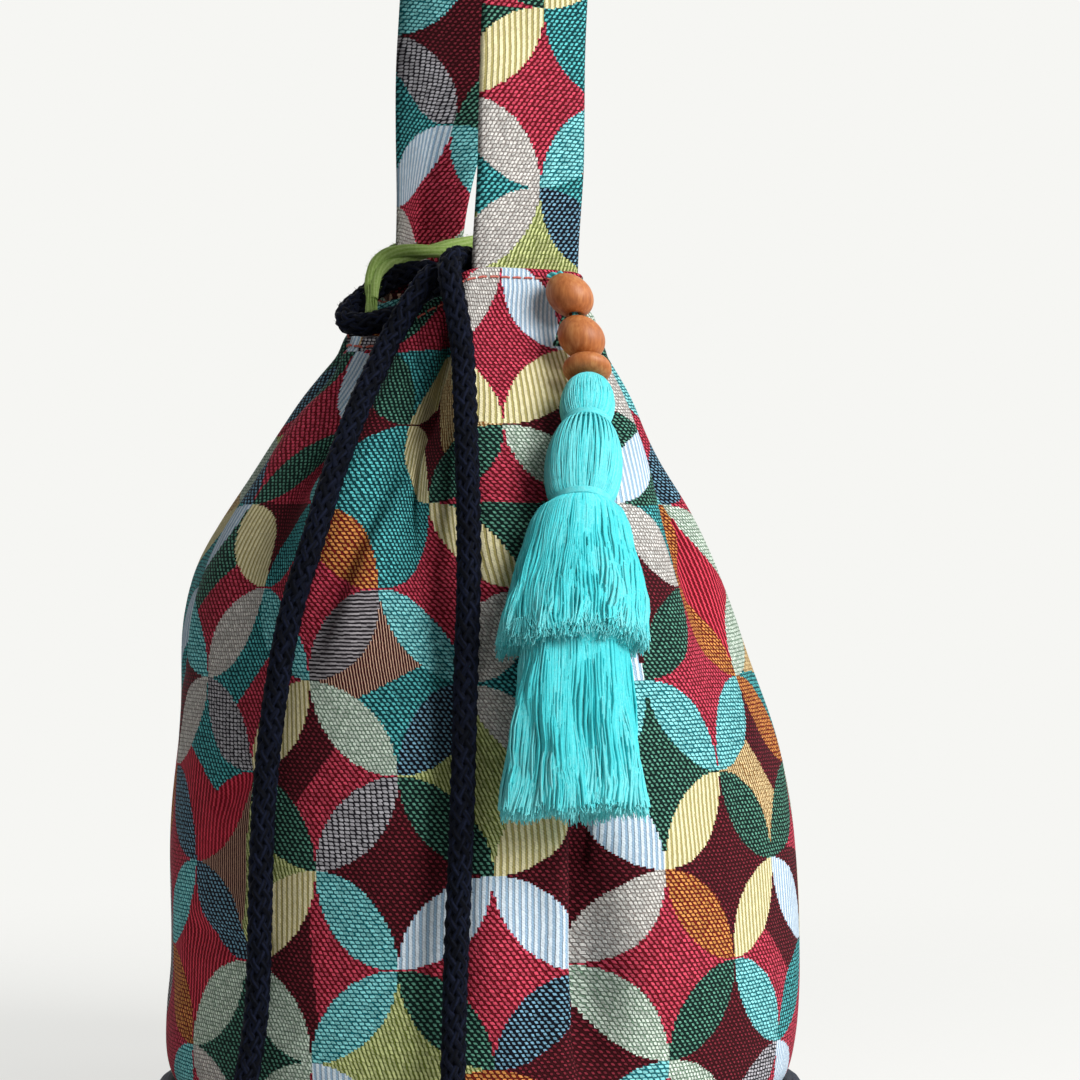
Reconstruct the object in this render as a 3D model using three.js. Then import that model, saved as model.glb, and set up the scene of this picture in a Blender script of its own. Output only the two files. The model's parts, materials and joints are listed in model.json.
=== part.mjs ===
// Drawstring bucket bag in tapestry cloth, with a shoulder strap and a beaded tassel charm.
// Millimetres, +Z up. The origin is the middle of the base, where the bag stands.
// The strap is sewn in at the front (-Y) and at the back (+Y) of the mouth.
import * as THREE from "three";

const { degToRad, lerp, smoothstep, clamp } = THREE.MathUtils;

// Driving dimensions
const clearance = 0.3; // between pieces that touch
const cloth = 2; // tapestry with its interlining

const baseRadius = 102;
const baseBoard = 4; // thickness of the covered board in the base
const pipingRadius = 4.2;
const pipingLift = 0.4; // clear of what the bag stands on

const bellyRadius = 108.5;
const bellyHeight = 72;
const shoulderRadius = 90;
const shoulderHeight = 183;
const neckRadius = 45;
const neckDrop = 21; // from the hem to the neck
const mouthRadius = 40;
const rimHeight = 283; // top of the hem at the two ends of the strap
const rimSag = 22; // how far the hem drops between them
const shoulderLean = 8; // the filled shoulder hangs to one side
const leanHeight = 193;
const leanSpread = 50;
const leanAngle = degToRad(153);

const foldDepth = 15; // of the gathers, at the hem
const gatherStart = 92; // height where the gathers begin
const sideLobes = 3; // gathers between the two strap ends, on each side
const footLobeAtRim = degToRad(40); // half the angle that a strap end holds flat
const footLobeAtBase = degToRad(28);
const dentDepth = 5; // the buckle in the cloth under the tassel
const dentAngle = degToRad(-96);
const dentWidth = degToRad(8);
const dentHeight = 100;

const liningCloth = 1;
const liningEase = 2.5; // between the lining and the innermost folds
const liningDrop = 30; // from the hem to the lining's top edge

const strapWidth = 40;
const strapThick = 4;
const strapTuck = 26; // how far the strap's ends go down behind the hem
const hemTurn = 1.2; // the hem's turned-in layer, which lies against the strap
const strapTop = 600;
const strapBend = 25; // radius of the turn at its top
const strapLean = 16; // the top lies to one side of the bag's middle
const tieHeight = 296;
const tiedWidth = 28; // the rear end is drawn together here
const tiedReach = 70; // and has opened out again this far above

const cordDiameter = 8;
const tieDiameter = 5;
const threadDiameter = 2.4;

const beadDiameter = 15.6;
const beadHole = 4;
const discDiameter = 16.2;
const discThick = 8;
const charmAngle = degToRad(-117); // the way the charm leans out over the belly
const charmAside = 32.5; // from the bag's middle, square to that
const charmSway = 1.9; // the beads lie this far to either side of its line
const charmDrop = 8.6; // from the hem to the first bead's middle
const charmSteepness = 0.9; // the share of its length that is height
const threadAside = 5; // where its thread is sewn in, from the middle of the strap
const threadDrop = 1.5; // and from the hem's top

const crownLength = 19;
const crownRadius = 8.8;
const upperWaist = 6.6; // radius of the yarn inside the upper binding
const headLength = 29.4;
const headRadius = 12.4;
const lowerWaist = 8.4; // and inside the lower one
const bindingLength = 3.2;
const bindingThick = 1.2;
const upperSkirtLength = 46.5;
const upperSkirtHalf = [24.5, 15]; // half its width and half its thickness at the hem
const skirtFullness = 0.4; // it swells out quickly below the binding
const lowerSkirtRoot = 30; // how far the lower skirt goes up inside the upper one
const lowerSkirtLength = 53; // what shows below it
const lowerSkirtHalf = [23.8, 13.5];
const hiddenHalf = [18.5, 11]; // of the lower skirt, where it comes out of the upper one
const rootHalf = [12.5, 8.5];
const yarnRidges = 14;
const yarnRidge = 0.7;

// Materials
const material = (color, roughness) => new THREE.MeshStandardMaterial({ color, roughness, metalness: 0 });
const tapestry = material(0x8a1f2e, 0.9);
const navyCotton = material(0x161a2b, 0.95);
const liningCotton = material(0x17171d, 0.95);
const turquoiseYarn = material(0x3fcfd0, 0.9);
const oiledBeech = material(0xbe6b3c, 0.5);
const greenYarn = material(0x7ba046, 0.95);

const bag = new THREE.Group();

function place(name, geometry, finish, group = bag) {
  const mesh = new THREE.Mesh(geometry, finish);
  mesh.name = name;
  group.add(mesh);
  return mesh;
}

// A closed skin over rings of points. Each ring closes on itself; the row of rings closes too, or is capped.
function skin(rings, looped) {
  const around = rings[0].length;
  const points = rings.flat();
  const index = [];
  const spans = looped ? rings.length : rings.length - 1;
  for (let i = 0; i < spans; i++) {
    for (let j = 0; j < around; j++) {
      const a = i * around + j;
      const b = i * around + ((j + 1) % around);
      const c = ((i + 1) % rings.length) * around + j;
      const d = ((i + 1) % rings.length) * around + ((j + 1) % around);
      index.push(a, b, d, a, d, c);
    }
  }
  if (!looped) {
    [0, rings.length - 1].forEach((end) => {
      const middle = new THREE.Vector3();
      rings[end].forEach((p) => middle.addScaledVector(p, 1 / around));
      const hub = points.push(middle) - 1;
      for (let j = 0; j < around; j++) {
        const a = end * around + j;
        const b = end * around + ((j + 1) % around);
        index.push(...(end ? [hub, a, b] : [hub, b, a]));
      }
    });
  }
  let volume = 0;
  for (let i = 0; i < index.length; i += 3) {
    const [a, b, c] = [points[index[i]], points[index[i + 1]], points[index[i + 2]]];
    volume += a.dot(new THREE.Vector3().crossVectors(b, c));
  }
  if (volume < 0) index.reverse();
  return new THREE.BufferGeometry().setFromPoints(points).setIndex(index);
}

// The cloth's outline from the side: from the seam at the base, over the belly and shoulder, to the hem
const seamHeight = baseBoard + clearance;
const seamRadius = baseRadius - 1;
const pipingRing = baseRadius + pipingRadius + clearance + 0.5;
const pipingHeight = pipingLift + pipingRadius;
const neckHeight = rimHeight - neckDrop;
const outline = new THREE.CatmullRomCurve3(
  [
    new THREE.Vector3(seamRadius, 0, seamHeight),
    new THREE.Vector3(pipingRing - clearance, 0, pipingHeight + 2.3 * pipingRadius),
    new THREE.Vector3(bellyRadius, 0, bellyHeight),
    new THREE.Vector3(shoulderRadius, 0, shoulderHeight),
    new THREE.Vector3(neckRadius, 0, neckHeight),
    new THREE.Vector3(mouthRadius, 0, rimHeight),
  ],
  false,
  "centripetal",
).getPoints(300);

function outlineRadius(z) {
  const i = clamp(outline.findIndex((p) => p.z >= z), 1, outline.length - 1);
  const [low, high] = [outline[i - 1], outline[i]];
  return lerp(low.x, high.x, (z - low.z) / (high.z - low.z));
}

function rimAt(angle) {
  const fromFoot = Math.PI / 2 - Math.asin(Math.abs(Math.sin(angle)));
  return rimHeight - rimSag * smoothstep(fromFoot, degToRad(22), degToRad(78));
}

function foldAt(z) {
  return foldDepth * smoothstep(z, gatherStart, rimHeight) ** 1.3;
}

function dentAt(angle, z) {
  const below = smoothstep(z, seamHeight + 6, 0.35 * dentHeight);
  const above = 1 - smoothstep(z, 0.5 * dentHeight, dentHeight);
  return dentDepth * below * above * Math.exp(-(((angle - dentAngle) / dentWidth) ** 2));
}

function leanAt(z) {
  const reach = shoulderLean * Math.exp(-(((z - leanHeight) / leanSpread) ** 2));
  return new THREE.Vector3(Math.cos(leanAngle), Math.sin(leanAngle), 0).multiplyScalar(reach);
}

// The lobes of cloth between the gathers, round from the front strap end
const halfTurn = Math.PI;
const lobes = [];
[-halfTurn / 2, halfTurn / 2].forEach((foot) => {
  lobes.push({ flat: true, rim: [foot, footLobeAtRim], base: [foot, footLobeAtBase] });
  const rimHalf = (halfTurn / 2 - footLobeAtRim) / sideLobes;
  const baseHalf = (halfTurn / 2 - footLobeAtBase) / sideLobes;
  for (let i = 0; i < sideLobes; i++) {
    lobes.push({
      flat: false,
      rim: [foot + footLobeAtRim + (2 * i + 1) * rimHalf, rimHalf],
      base: [foot + footLobeAtBase + (2 * i + 1) * baseHalf, baseHalf],
    });
  }
});

// A point on the outside of the cloth: across is -1 to 1 over a lobe, up is 0 at the base and 1 at the hem
function wallPoint(lobe, across, up) {
  const rimAngle = lobe.rim[0] + lobe.rim[1] * across * (1.25 - 0.25 * across * across);
  const baseAngle = lobe.base[0] + lobe.base[1] * across;
  const z = lerp(seamHeight, rimAt(rimAngle), up);
  const gather = smoothstep(z, gatherStart, rimHeight);
  const angle = lerp(baseAngle, rimAngle, gather);
  let radius = outlineRadius(z);
  if (lobe.flat) {
    const flatness = smoothstep(z, shoulderHeight, neckHeight);
    const off = clamp(angle - lobe.rim[0], -0.8 * footLobeAtRim, 0.8 * footLobeAtRim);
    radius *= lerp(1, 1 / Math.cos(off), flatness);
  }
  radius -= foldAt(z) * ((1 - Math.cos(Math.PI * across)) / 2) ** (lobe.flat ? 9 : 1.5);
  radius -= dentAt(angle, z);
  return new THREE.Vector3(radius * Math.cos(angle), radius * Math.sin(angle), z).add(leanAt(z));
}

function wallNormal(lobe, across, up) {
  const step = 0.01;
  const [a, b] = [Math.max(across - step, -1), Math.min(across + step, 1)];
  const [c, d] = [Math.max(up - step, 0), Math.min(up + step, 1)];
  const round = wallPoint(lobe, b, up).sub(wallPoint(lobe, a, up));
  const rise = wallPoint(lobe, across, d).sub(wallPoint(lobe, across, c));
  return round.cross(rise).normalize();
}

// Outer wall
const sideColumns = [-1, -0.75, -0.5, -0.25, 0, 0.25, 0.5, 0.75];
const footColumns = [-1, -0.84, -0.64, -0.33, 0, 0.33, 0.64, 0.84];
const wallRows = [0, 0.035, 0.12, 0.24, 0.34, 0.44, 0.53, 0.62, 0.7, 0.78, 0.86, 0.93, 1];
const wallColumns = lobes.flatMap((lobe) =>
  (lobe.flat ? footColumns : sideColumns).map((across) => {
    const outer = wallRows.map((up) => wallPoint(lobe, across, up));
    const inner = wallRows.map((up, row) => {
      const inward = wallNormal(lobe, across, up).negate();
      return outer[row].clone().addScaledVector(inward, cloth);
    });
    return [...outer, ...inner.reverse()];
  }),
);
place("outer_wall", skin(wallColumns, true), tapestry);

// Base: a covered board, and piping in the seam round it
const boardLine = [
  new THREE.Vector2(0, 0),
  new THREE.Vector2(baseRadius - 1, 0),
  new THREE.Vector2(baseRadius, 1),
  new THREE.Vector2(baseRadius, baseBoard),
  new THREE.Vector2(0, baseBoard),
];
const board = place("base_panel", new THREE.LatheGeometry(boardLine, 48), navyCotton);
board.rotation.x = Math.PI / 2;
const piping = place("base_piping", new THREE.TorusGeometry(pipingRing, pipingRadius, 8, 40), navyCotton);
piping.position.z = pipingHeight;

// Lining: an open bag that hangs inside the gathers
const liningColumns = 32;
const liningRows = [0, 0.08, 0.3, 0.5, 0.65, 0.8, 0.9, 1];

function liningRing(up, inset) {
  return Array.from({ length: liningColumns }, (_, i) => {
    const angle = (2 * Math.PI * i) / liningColumns;
    const z = lerp(seamHeight, rimAt(angle) - liningDrop, up);
    const radius = outlineRadius(z) - foldAt(z) - dentAt(angle > Math.PI ? angle - 2 * Math.PI : angle, z);
    const reach = radius - cloth - liningEase - inset;
    const floor = inset ? Math.max(z, seamHeight + liningCloth) : z;
    return new THREE.Vector3(reach * Math.cos(angle), reach * Math.sin(angle), floor).add(leanAt(z));
  });
}
const liningOutside = liningRows.map((up) => liningRing(up, 0));
const liningInside = liningRows.map((up) => liningRing(up, liningCloth)).reverse();
place("lining", skin([...liningOutside, ...liningInside], false), liningCotton);

// Strap: one band, up from behind the front of the hem, over, and down behind the back of it
const strapFoot = rimHeight - strapTuck;
const bendHeight = strapTop - strapBend;

function strapSeat(z) {
  const seat = outlineRadius(Math.min(z, rimHeight)) - 1.1 * cloth - hemTurn - strapThick / 2;
  return lerp(seat, strapBend, clamp((z - rimHeight - 6) / (bendHeight - rimHeight - 6), 0, 1));
}

function strapSide(z) {
  return strapLean * clamp((z - rimHeight) / (strapTop - rimHeight), 0, 1) ** 1.2;
}

// The band's section: drawn together to a given width, it folds along its middle and keeps its length
function strapRing(middle, along, width) {
  const half = width / 2;
  const crease = Math.sqrt(Math.max((strapWidth / 2) ** 2 - half ** 2, 0));
  const across = new THREE.Vector3(1, 0, 0);
  const outward = new THREE.Vector3().crossVectors(along, across).normalize();
  const edge = strapThick / 2;
  const line = [-half, -half / 2, 0, half / 2, half];
  const face = (side) =>
    line.map((x) => {
      const fold = crease * (1 - Math.abs(x) / half);
      const trim = Math.abs(x) === half ? 0.5 * edge : edge;
      return middle.clone().addScaledVector(across, x).addScaledVector(outward, side * trim - fold);
    });
  const tip = (side) => middle.clone().addScaledVector(across, side * (half + 0.5 * edge));
  return [...face(1), tip(1), ...face(-1).reverse(), tip(-1)];
}

const frontHeights = [0, 0.5, 1].map((u) => lerp(strapFoot, rimHeight, u)).concat(
  [0.06, 0.3, 0.65].map((u) => lerp(rimHeight, bendHeight, u)));
const rearHeights = [0.75, 0.5, 0.4, 0.3].map((u) => lerp(rimHeight, bendHeight, u)).concat(
  [0.55, 0.35, 0.18, 0.06, 0].map((u) => lerp(tieHeight, tieHeight + tiedReach, u)),
  [0.66, 0.33, 0].map((u) => lerp(rimHeight, tieHeight, u)),
  [0.5, 0].map((u) => lerp(strapFoot, rimHeight, u)));
const strapPoints = frontHeights.map((z) => new THREE.Vector3(strapSide(z), -strapSeat(z), z));
const bendSteps = 8;
for (let i = 0; i <= bendSteps; i++) {
  const turn = (Math.PI * i) / bendSteps;
  const z = bendHeight + strapBend * Math.sin(turn);
  strapPoints.push(new THREE.Vector3(strapSide(z), -strapBend * Math.cos(turn), z));
}
rearHeights.forEach((z) => strapPoints.push(new THREE.Vector3(strapSide(z), strapSeat(z), z)));
const strapRings = strapPoints.map((point, i) => {
  const before = strapPoints[Math.max(i - 1, 0)];
  const after = strapPoints[Math.min(i + 1, strapPoints.length - 1)];
  const rear = i > frontHeights.length + bendSteps;
  const drawn = point.z < tieHeight
    ? smoothstep(point.z, rimHeight, tieHeight)
    : 1 - smoothstep(point.z, tieHeight, tieHeight + tiedReach);
  const width = rear ? lerp(strapWidth, tiedWidth, drawn) : strapWidth;
  return strapRing(point, after.clone().sub(before).normalize(), width);
});
place("strap", skin(strapRings, false), tapestry);

// Cords, each along its own list of points
function cord(name, points, diameter, sides, step, finish) {
  const stations = points.map((p) => new THREE.Vector3(...p));
  const route = new THREE.CatmullRomCurve3(stations, false, "centripetal");
  const section = new THREE.Shape();
  section.setFromPoints(
    Array.from({ length: sides }, (_, i) => {
      const turn = (2 * Math.PI * i) / sides;
      return new THREE.Vector2(Math.cos(turn), Math.sin(turn)).multiplyScalar(diameter / 2);
    }),
  );
  const steps = Math.max(6, Math.round(route.getLength() / step));
  return place(name, new THREE.ExtrudeGeometry(section, { steps, extrudePath: route }), finish);
}

const drawstringRoute = [
  [-20.5, -12.6, 277.2], [-20.4, -8.2, 274.8], [-25, -1.2, 271.3], [-32.5, 5.5, 268.6], [-39, 11, 267],
  [-42.5, 16.5, 268], [-40, 22, 271.8], [-34, 25, 276], [-27, 26.3, 281], [-19.5, 26.5, 285.2],
  [-10, 25, 287], [1, 24.5, 286], [11.5, 21.5, 285], [18.5, 13, 277.5], [21.5, 5, 271],
  [22.3, -4, 267.8], [18.5, -10.5, 269.3], [13, -15.4, 272.8], [9.3, -19.9, 276.2], [3.1, -21.6, 279],
];
const leftTailRoute = [
  [-20.5, -13, 277.5], [-20.8, -18, 280.5], [-25, -22, 282.3], [-31.2, -25.5, 280.8], [-37, -27.4, 274.5],
  [-41.6, -27.2, 267.5], [-46, -26.5, 260], [-51.8, -28.7, 250.5], [-59, -32, 239], [-72.4, -41, 216],
  [-83, -47.4, 193], [-90.6, -47.4, 170], [-95.2, -46.2, 145], [-98.8, -46.6, 119], [-101.1, -48.1, 94],
  [-102.4, -49.6, 68], [-103.3, -49.2, 43], [-105.5, -49.3, 28], [-108, -50.3, 19],
];
const rightTailRoute = [
  [2.7, -21.7, 279.2], [-3, -23.3, 281.8], [-9.5, -24.5, 284.8], [-17, -26.5, 287.4], [-24.9, -30.7, 287],
  [-29.2, -36.8, 281.5], [-30, -41.8, 273], [-30.2, -45.7, 265], [-31.4, -51.3, 255], [-36.3, -63.7, 232],
  [-41.1, -75.5, 206], [-45.2, -84.5, 180], [-48.5, -89.5, 155], [-51.3, -93.7, 130], [-53.6, -96.8, 105],
  [-55.5, -98.4, 80], [-57, -99.2, 55], [-58.4, -100.8, 33], [-60.3, -104.2, 19],
];
const tieRoute = [
  [-11.5, 45.2, 296.5], [-7, 50.4, 297], [0, 54, 297.3], [7, 50.4, 297.5], [12.8, 44, 297.6],
  [18.3, 36, 297.6], [17.6, 30.6, 297.3], [11, 28.6, 296.6], [0, 28.2, 295.2], [-10, 28.5, 293.8],
  [-18, 28.8, 292.4], [-24, 27, 290.2], [-29, 23.2, 286.4], [-32, 19.4, 281.2], [-33.2, 16.4, 275.6],
];
cord("drawstring", drawstringRoute, cordDiameter, 8, 5.5, navyCotton);
cord("cord_tail_left", leftTailRoute, cordDiameter, 8, 10, navyCotton);
cord("cord_tail_right", rightTailRoute, cordDiameter, 8, 10, navyCotton);
cord("green_tie", tieRoute, tieDiameter, 8, 5, greenYarn);

// Overhand knots at the cord's two ends
function knot(name, route) {
  const end = new THREE.Vector3(...route.at(-1));
  const before = new THREE.Vector3(...route.at(-2));
  const out = end.clone().setZ(0).normalize();
  const size = 1.06 * cordDiameter;
  const lean = before.sub(end).normalize();
  const rings = [0.03, 0.16, 0.36, 0.64, 0.84, 0.97].map((u) => {
    const wide = size * Math.sqrt(1 - (2 * u - 1) ** 2);
    return Array.from({ length: 12 }, (_, i) => {
      const turn = (Math.PI * i) / 6;
      const reach = wide * (1 + 0.1 * Math.cos(2 * turn + 5 * u));
      return new THREE.Vector3(reach * Math.cos(turn), reach * Math.sin(turn), (1 - 2 * u) * size);
    });
  });
  const lump = place(name, skin(rings, false), navyCotton);
  lump.position.copy(end).addScaledVector(lean, -clearance - size).addScaledVector(out, 0.5);
}
knot("knot_left", leftTailRoute);
knot("knot_right", rightTailRoute);

// Charm: it hangs from the seam of the front strap end and lies on the cloth, in an upright plane
const charmOut = new THREE.Vector3(Math.cos(charmAngle), Math.sin(charmAngle), 0);
const charmAcross = new THREE.Vector3(-charmOut.y, charmOut.x, 0);

function charmPoint(z, standoff, sway) {
  const lean = leanAt(z);
  const side = charmAside + sway;
  const aside = side - lean.dot(charmAcross);
  const slope = (outlineRadius(z - 2) - outlineRadius(z + 2)) / 4;
  const reach = outlineRadius(z) + standoff * Math.hypot(1, slope);
  const out = Math.sqrt(reach ** 2 - aside ** 2) + lean.dot(charmOut);
  return charmOut.clone().multiplyScalar(out).addScaledVector(charmAcross, side).setZ(z);
}
const beadStep = beadDiameter + clearance;
const discStep = beadStep + (beadDiameter + discThick) / 2 + clearance;
const crownStart = discStep + discThick / 2 + clearance;
const headStart = crownStart + crownLength + bindingLength;
const skirtStart = headStart + headLength + bindingLength;
const upperHem = skirtStart + upperSkirtLength;

const beadStand = beadDiameter / 2 + 3;
const charmStations = [
  [0, beadStand - 1.2, -charmSway],
  [beadStep, beadStand + 0.8, charmSway],
  [discStep, discDiameter / 2 + 3, 2 * charmSway],
  [headStart + headLength / 2, headRadius + 1.5, charmSway],
  [skirtStart + 0.3 * upperSkirtLength, headRadius + 3, 0],
  [skirtStart + 0.9 * upperSkirtLength, upperSkirtHalf[1] + 2, -0.3 * charmSway],
  [upperHem + 0.4 * lowerSkirtLength, upperSkirtHalf[1] + 2, -0.5 * charmSway],
  [upperHem + lowerSkirtLength, lowerSkirtHalf[1] + 2.5, -0.2 * charmSway],
];
const charmPoints = charmStations.map(([length, stand, sway]) => {
  return charmPoint(rimHeight - charmDrop - charmSteepness * length, stand, sway);
});
const charmLine = new THREE.CatmullRomCurve3(charmPoints, false, "centripetal");
charmLine.arcLengthDivisions = 400;
const charmReach = charmLine.getLength();

function charmAt(distance) {
  const u = clamp(distance / charmReach, 0, 1);
  const along = charmLine.getTangentAt(u);
  const point = charmLine.getPointAt(u).addScaledVector(along, distance - u * charmReach);
  return { point, along, out: new THREE.Vector3().crossVectors(along, charmAcross).normalize() };
}

// Pieces turned about the charm's line
function turned(name, profile, segments, distance, finish) {
  const { point, along } = charmAt(distance);
  const piece = place(name, new THREE.LatheGeometry(profile, segments), finish);
  piece.position.copy(point);
  piece.quaternion.setFromUnitVectors(new THREE.Vector3(0, -1, 0), along);
}

function beadLine(radius, halfThick) {
  const hole = beadHole / 2;
  const top = halfThick * Math.sqrt(1 - (hole / radius) ** 2);
  const start = Math.asin(top / halfThick);
  const line = Array.from({ length: 8 }, (_, i) => {
    const turn = lerp(-start, start, i / 7);
    return new THREE.Vector2(radius * Math.cos(turn), halfThick * Math.sin(turn));
  });
  return [...line, line[0].clone()];
}
turned("bead_top", beadLine(beadDiameter / 2, beadDiameter / 2), 14, 0, oiledBeech);
turned("bead_middle", beadLine(beadDiameter / 2, beadDiameter / 2), 14, beadStep, oiledBeech);
turned("bead_disc", beadLine(discDiameter / 2, discThick / 2), 14, discStep, oiledBeech);

function binding(name, waist, distance) {
  const inside = waist + clearance;
  const half = bindingLength / 2 - clearance;
  const line = [
    new THREE.Vector2(inside, -half),
    new THREE.Vector2(inside + bindingThick, -0.6 * half),
    new THREE.Vector2(inside + bindingThick, 0.6 * half),
    new THREE.Vector2(inside, half),
    new THREE.Vector2(inside, -half),
  ];
  turned(name, line, 20, distance, turquoiseYarn);
}
binding("upper_binding", upperWaist, headStart - bindingLength / 2);
binding("lower_binding", lowerWaist, skirtStart - bindingLength / 2);

// A ring of yarn: a soft oval with a ridge for each bundle of threads
function yarnRing(distance, wide, thick, ridge) {
  const { point, along, out } = charmAt(distance);
  return Array.from({ length: 2 * yarnRidges }, (_, i) => {
    const turn = (Math.PI * i) / yarnRidges;
    const swell = i % 2 ? -ridge / 2 : ridge / 2;
    return point
      .clone()
      .addScaledVector(charmAcross, (wide + swell) * Math.cos(turn))
      .addScaledVector(out, (thick + swell) * Math.sin(turn));
  });
}

function bulge(from, to, widest, u) {
  return lerp(from, to, u) + (widest - (from + to) / 2) * Math.sin(Math.PI * u);
}
const upperRings = [];
[0, 0.12, 0.3, 0.5, 0.7, 0.88].forEach((u) => {
  const radius = bulge(0.4 * upperWaist, upperWaist, crownRadius, u);
  upperRings.push(yarnRing(crownStart + u * crownLength, radius, radius, 0));
});
upperRings.push(yarnRing(headStart - bindingLength, upperWaist, upperWaist, 0));
upperRings.push(yarnRing(headStart, upperWaist, upperWaist, 0));
[0.12, 0.3, 0.5, 0.7, 0.88].forEach((u) => {
  const radius = bulge(upperWaist, lowerWaist, headRadius, u);
  upperRings.push(yarnRing(headStart + u * headLength, radius, radius, 0.4 * yarnRidge));
});
upperRings.push(yarnRing(skirtStart - bindingLength, lowerWaist, lowerWaist, 0));
upperRings.push(yarnRing(skirtStart, lowerWaist, lowerWaist, 0));
[0.2, 0.45, 0.72, 1].forEach((u) => {
  const flare = u ** skirtFullness;
  const wide = lerp(lowerWaist, upperSkirtHalf[0], flare);
  const thick = lerp(lowerWaist, upperSkirtHalf[1], flare);
  upperRings.push(yarnRing(skirtStart + u * upperSkirtLength, wide, thick, yarnRidge));
});

function hiddenSize(u, axis) {
  return lerp(rootHalf[axis], hiddenHalf[axis], u);
}
[1, 0.5, 0].forEach((u) => {
  const distance = upperHem - (1 - u) * lowerSkirtRoot;
  const room = 2 * clearance;
  upperRings.push(yarnRing(distance, hiddenSize(u, 0) + room, hiddenSize(u, 1) + room, 0));
});
place("tassel_upper", skin(upperRings, false), turquoiseYarn);

const lowerRings = [0.02, 0.5, 1].map((u) =>
  yarnRing(upperHem - (1 - u) * lowerSkirtRoot, hiddenSize(u, 0), hiddenSize(u, 1), 0));
[0.3, 0.65, 1].forEach((u) => {
  const wide = lerp(hiddenHalf[0], lowerSkirtHalf[0], u);
  const thick = lerp(hiddenHalf[1], lowerSkirtHalf[1], u);
  lowerRings.push(yarnRing(upperHem + u * lowerSkirtLength, wide, thick, yarnRidge));
});
place("tassel_lower", skin(lowerRings, false), turquoiseYarn);

// The thread: from the seam at the hem, through the beads, to the tassel's crown
const seamHigh = rimHeight - threadDrop;
const seamOut = outlineRadius(seamHigh) + threadDiameter / 2 + clearance;
const seamPoint = new THREE.Vector3(threadAside, -seamOut, seamHigh);
const threadStations = [
  -0.5 * beadDiameter,
  0,
  0.5 * beadStep,
  beadStep,
  lerp(beadStep, discStep, 0.6),
  discStep,
  crownStart - clearance,
];
const threadPoints = [seamPoint, ...threadStations.map((distance) => charmAt(distance).point)];
cord("charm_thread", threadPoints.map((p) => p.toArray()), threadDiameter, 8, 3.2, turquoiseYarn);

export default bag;
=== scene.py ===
import json
import math

import bpy
import numpy as np
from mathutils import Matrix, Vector, noise

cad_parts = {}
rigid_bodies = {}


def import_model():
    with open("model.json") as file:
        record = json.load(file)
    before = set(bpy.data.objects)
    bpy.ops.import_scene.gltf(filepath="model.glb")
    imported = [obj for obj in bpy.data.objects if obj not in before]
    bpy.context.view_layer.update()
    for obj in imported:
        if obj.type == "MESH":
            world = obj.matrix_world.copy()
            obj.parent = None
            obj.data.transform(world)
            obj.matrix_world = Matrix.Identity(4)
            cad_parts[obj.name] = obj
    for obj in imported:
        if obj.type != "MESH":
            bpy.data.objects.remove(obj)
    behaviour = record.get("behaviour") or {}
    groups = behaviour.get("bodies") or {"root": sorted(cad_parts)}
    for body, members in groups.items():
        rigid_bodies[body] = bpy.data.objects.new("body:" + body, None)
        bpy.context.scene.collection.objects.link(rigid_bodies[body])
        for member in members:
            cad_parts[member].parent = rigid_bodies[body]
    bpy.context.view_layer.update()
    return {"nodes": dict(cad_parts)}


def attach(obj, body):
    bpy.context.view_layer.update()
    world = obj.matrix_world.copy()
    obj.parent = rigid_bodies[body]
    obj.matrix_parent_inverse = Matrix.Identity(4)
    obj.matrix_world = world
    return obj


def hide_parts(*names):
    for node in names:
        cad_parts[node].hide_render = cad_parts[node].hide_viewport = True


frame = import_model()
scene = bpy.context.scene
print("frame loaded:", len(frame["nodes"]), "nodes")


# helpers

def linearColor(hexValue):
    channels = [int(hexValue[i:i + 2], 16) / 255 for i in (1, 3, 5)]
    return [c / 12.92 if c <= .04045 else ((c + .055) / 1.055) ** 2.4 for c in channels] + [1.0]


def addNode(tree, kind, inputs=None, **settings):
    # an input is a socket, a node, which stands for its first output, or a plain value
    node = tree.nodes.new(kind)
    for key, value in settings.items():
        setattr(node, key, value)
    for key, value in (inputs or {}).items():
        if isinstance(value, bpy.types.Node):
            value = value.outputs[0]
        if isinstance(value, bpy.types.NodeSocket):
            tree.links.new(value, node.inputs[key])
        else:
            node.inputs[key].default_value = value
    return node


def smoothstep(x, low, high):
    t = np.clip((x - low) / (high - low), 0, 1)
    return t * t * (3 - 2 * t)


def unit(v):
    v = np.asarray(v, float)
    return v / np.linalg.norm(v, axis=-1, keepdims=True)


def travelAlong(points):
    return np.concatenate([[0], np.cumsum(np.linalg.norm(np.diff(points, axis=0), axis=1))])


def turnFrom(angle, middle):
    # the angle between the two, from minus half a turn to half a turn
    return (angle - middle + math.pi) % (2 * math.pi) - math.pi


def turnsOf(count):
    return np.linspace(0, 2 * math.pi, count, endpoint=False)


def catmullRom(points, count):
    # centripetal, in equal steps on every span, as the solids' routes are
    p = np.array(points, float)
    p = np.vstack([2 * p[0] - p[1], p, 2 * p[-1] - p[-2]])
    spans = len(p) - 3
    t = np.linspace(0, spans, count)
    i = np.minimum(t.astype(int), spans - 1)
    w = (t - i)[:, None]
    p0, p1, p2, p3 = p[i], p[i + 1], p[i + 2], p[i + 3]
    d0, d1, d2 = [np.sqrt(np.linalg.norm(b - a, axis=1))[:, None]
                  for a, b in ((p0, p1), (p1, p2), (p2, p3))]
    m1 = ((p1 - p0) / d0 - (p2 - p0) / (d0 + d1) + (p2 - p1) / d1) * d1
    m2 = ((p2 - p1) / d1 - (p3 - p1) / (d1 + d2) + (p3 - p2) / d2) * d1
    a = 2 * p1 - 2 * p2 + m1 + m2
    b = -3 * p1 + 3 * p2 - 2 * m1 - m2
    return ((a * w + b) * w + m1) * w + p1


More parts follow.
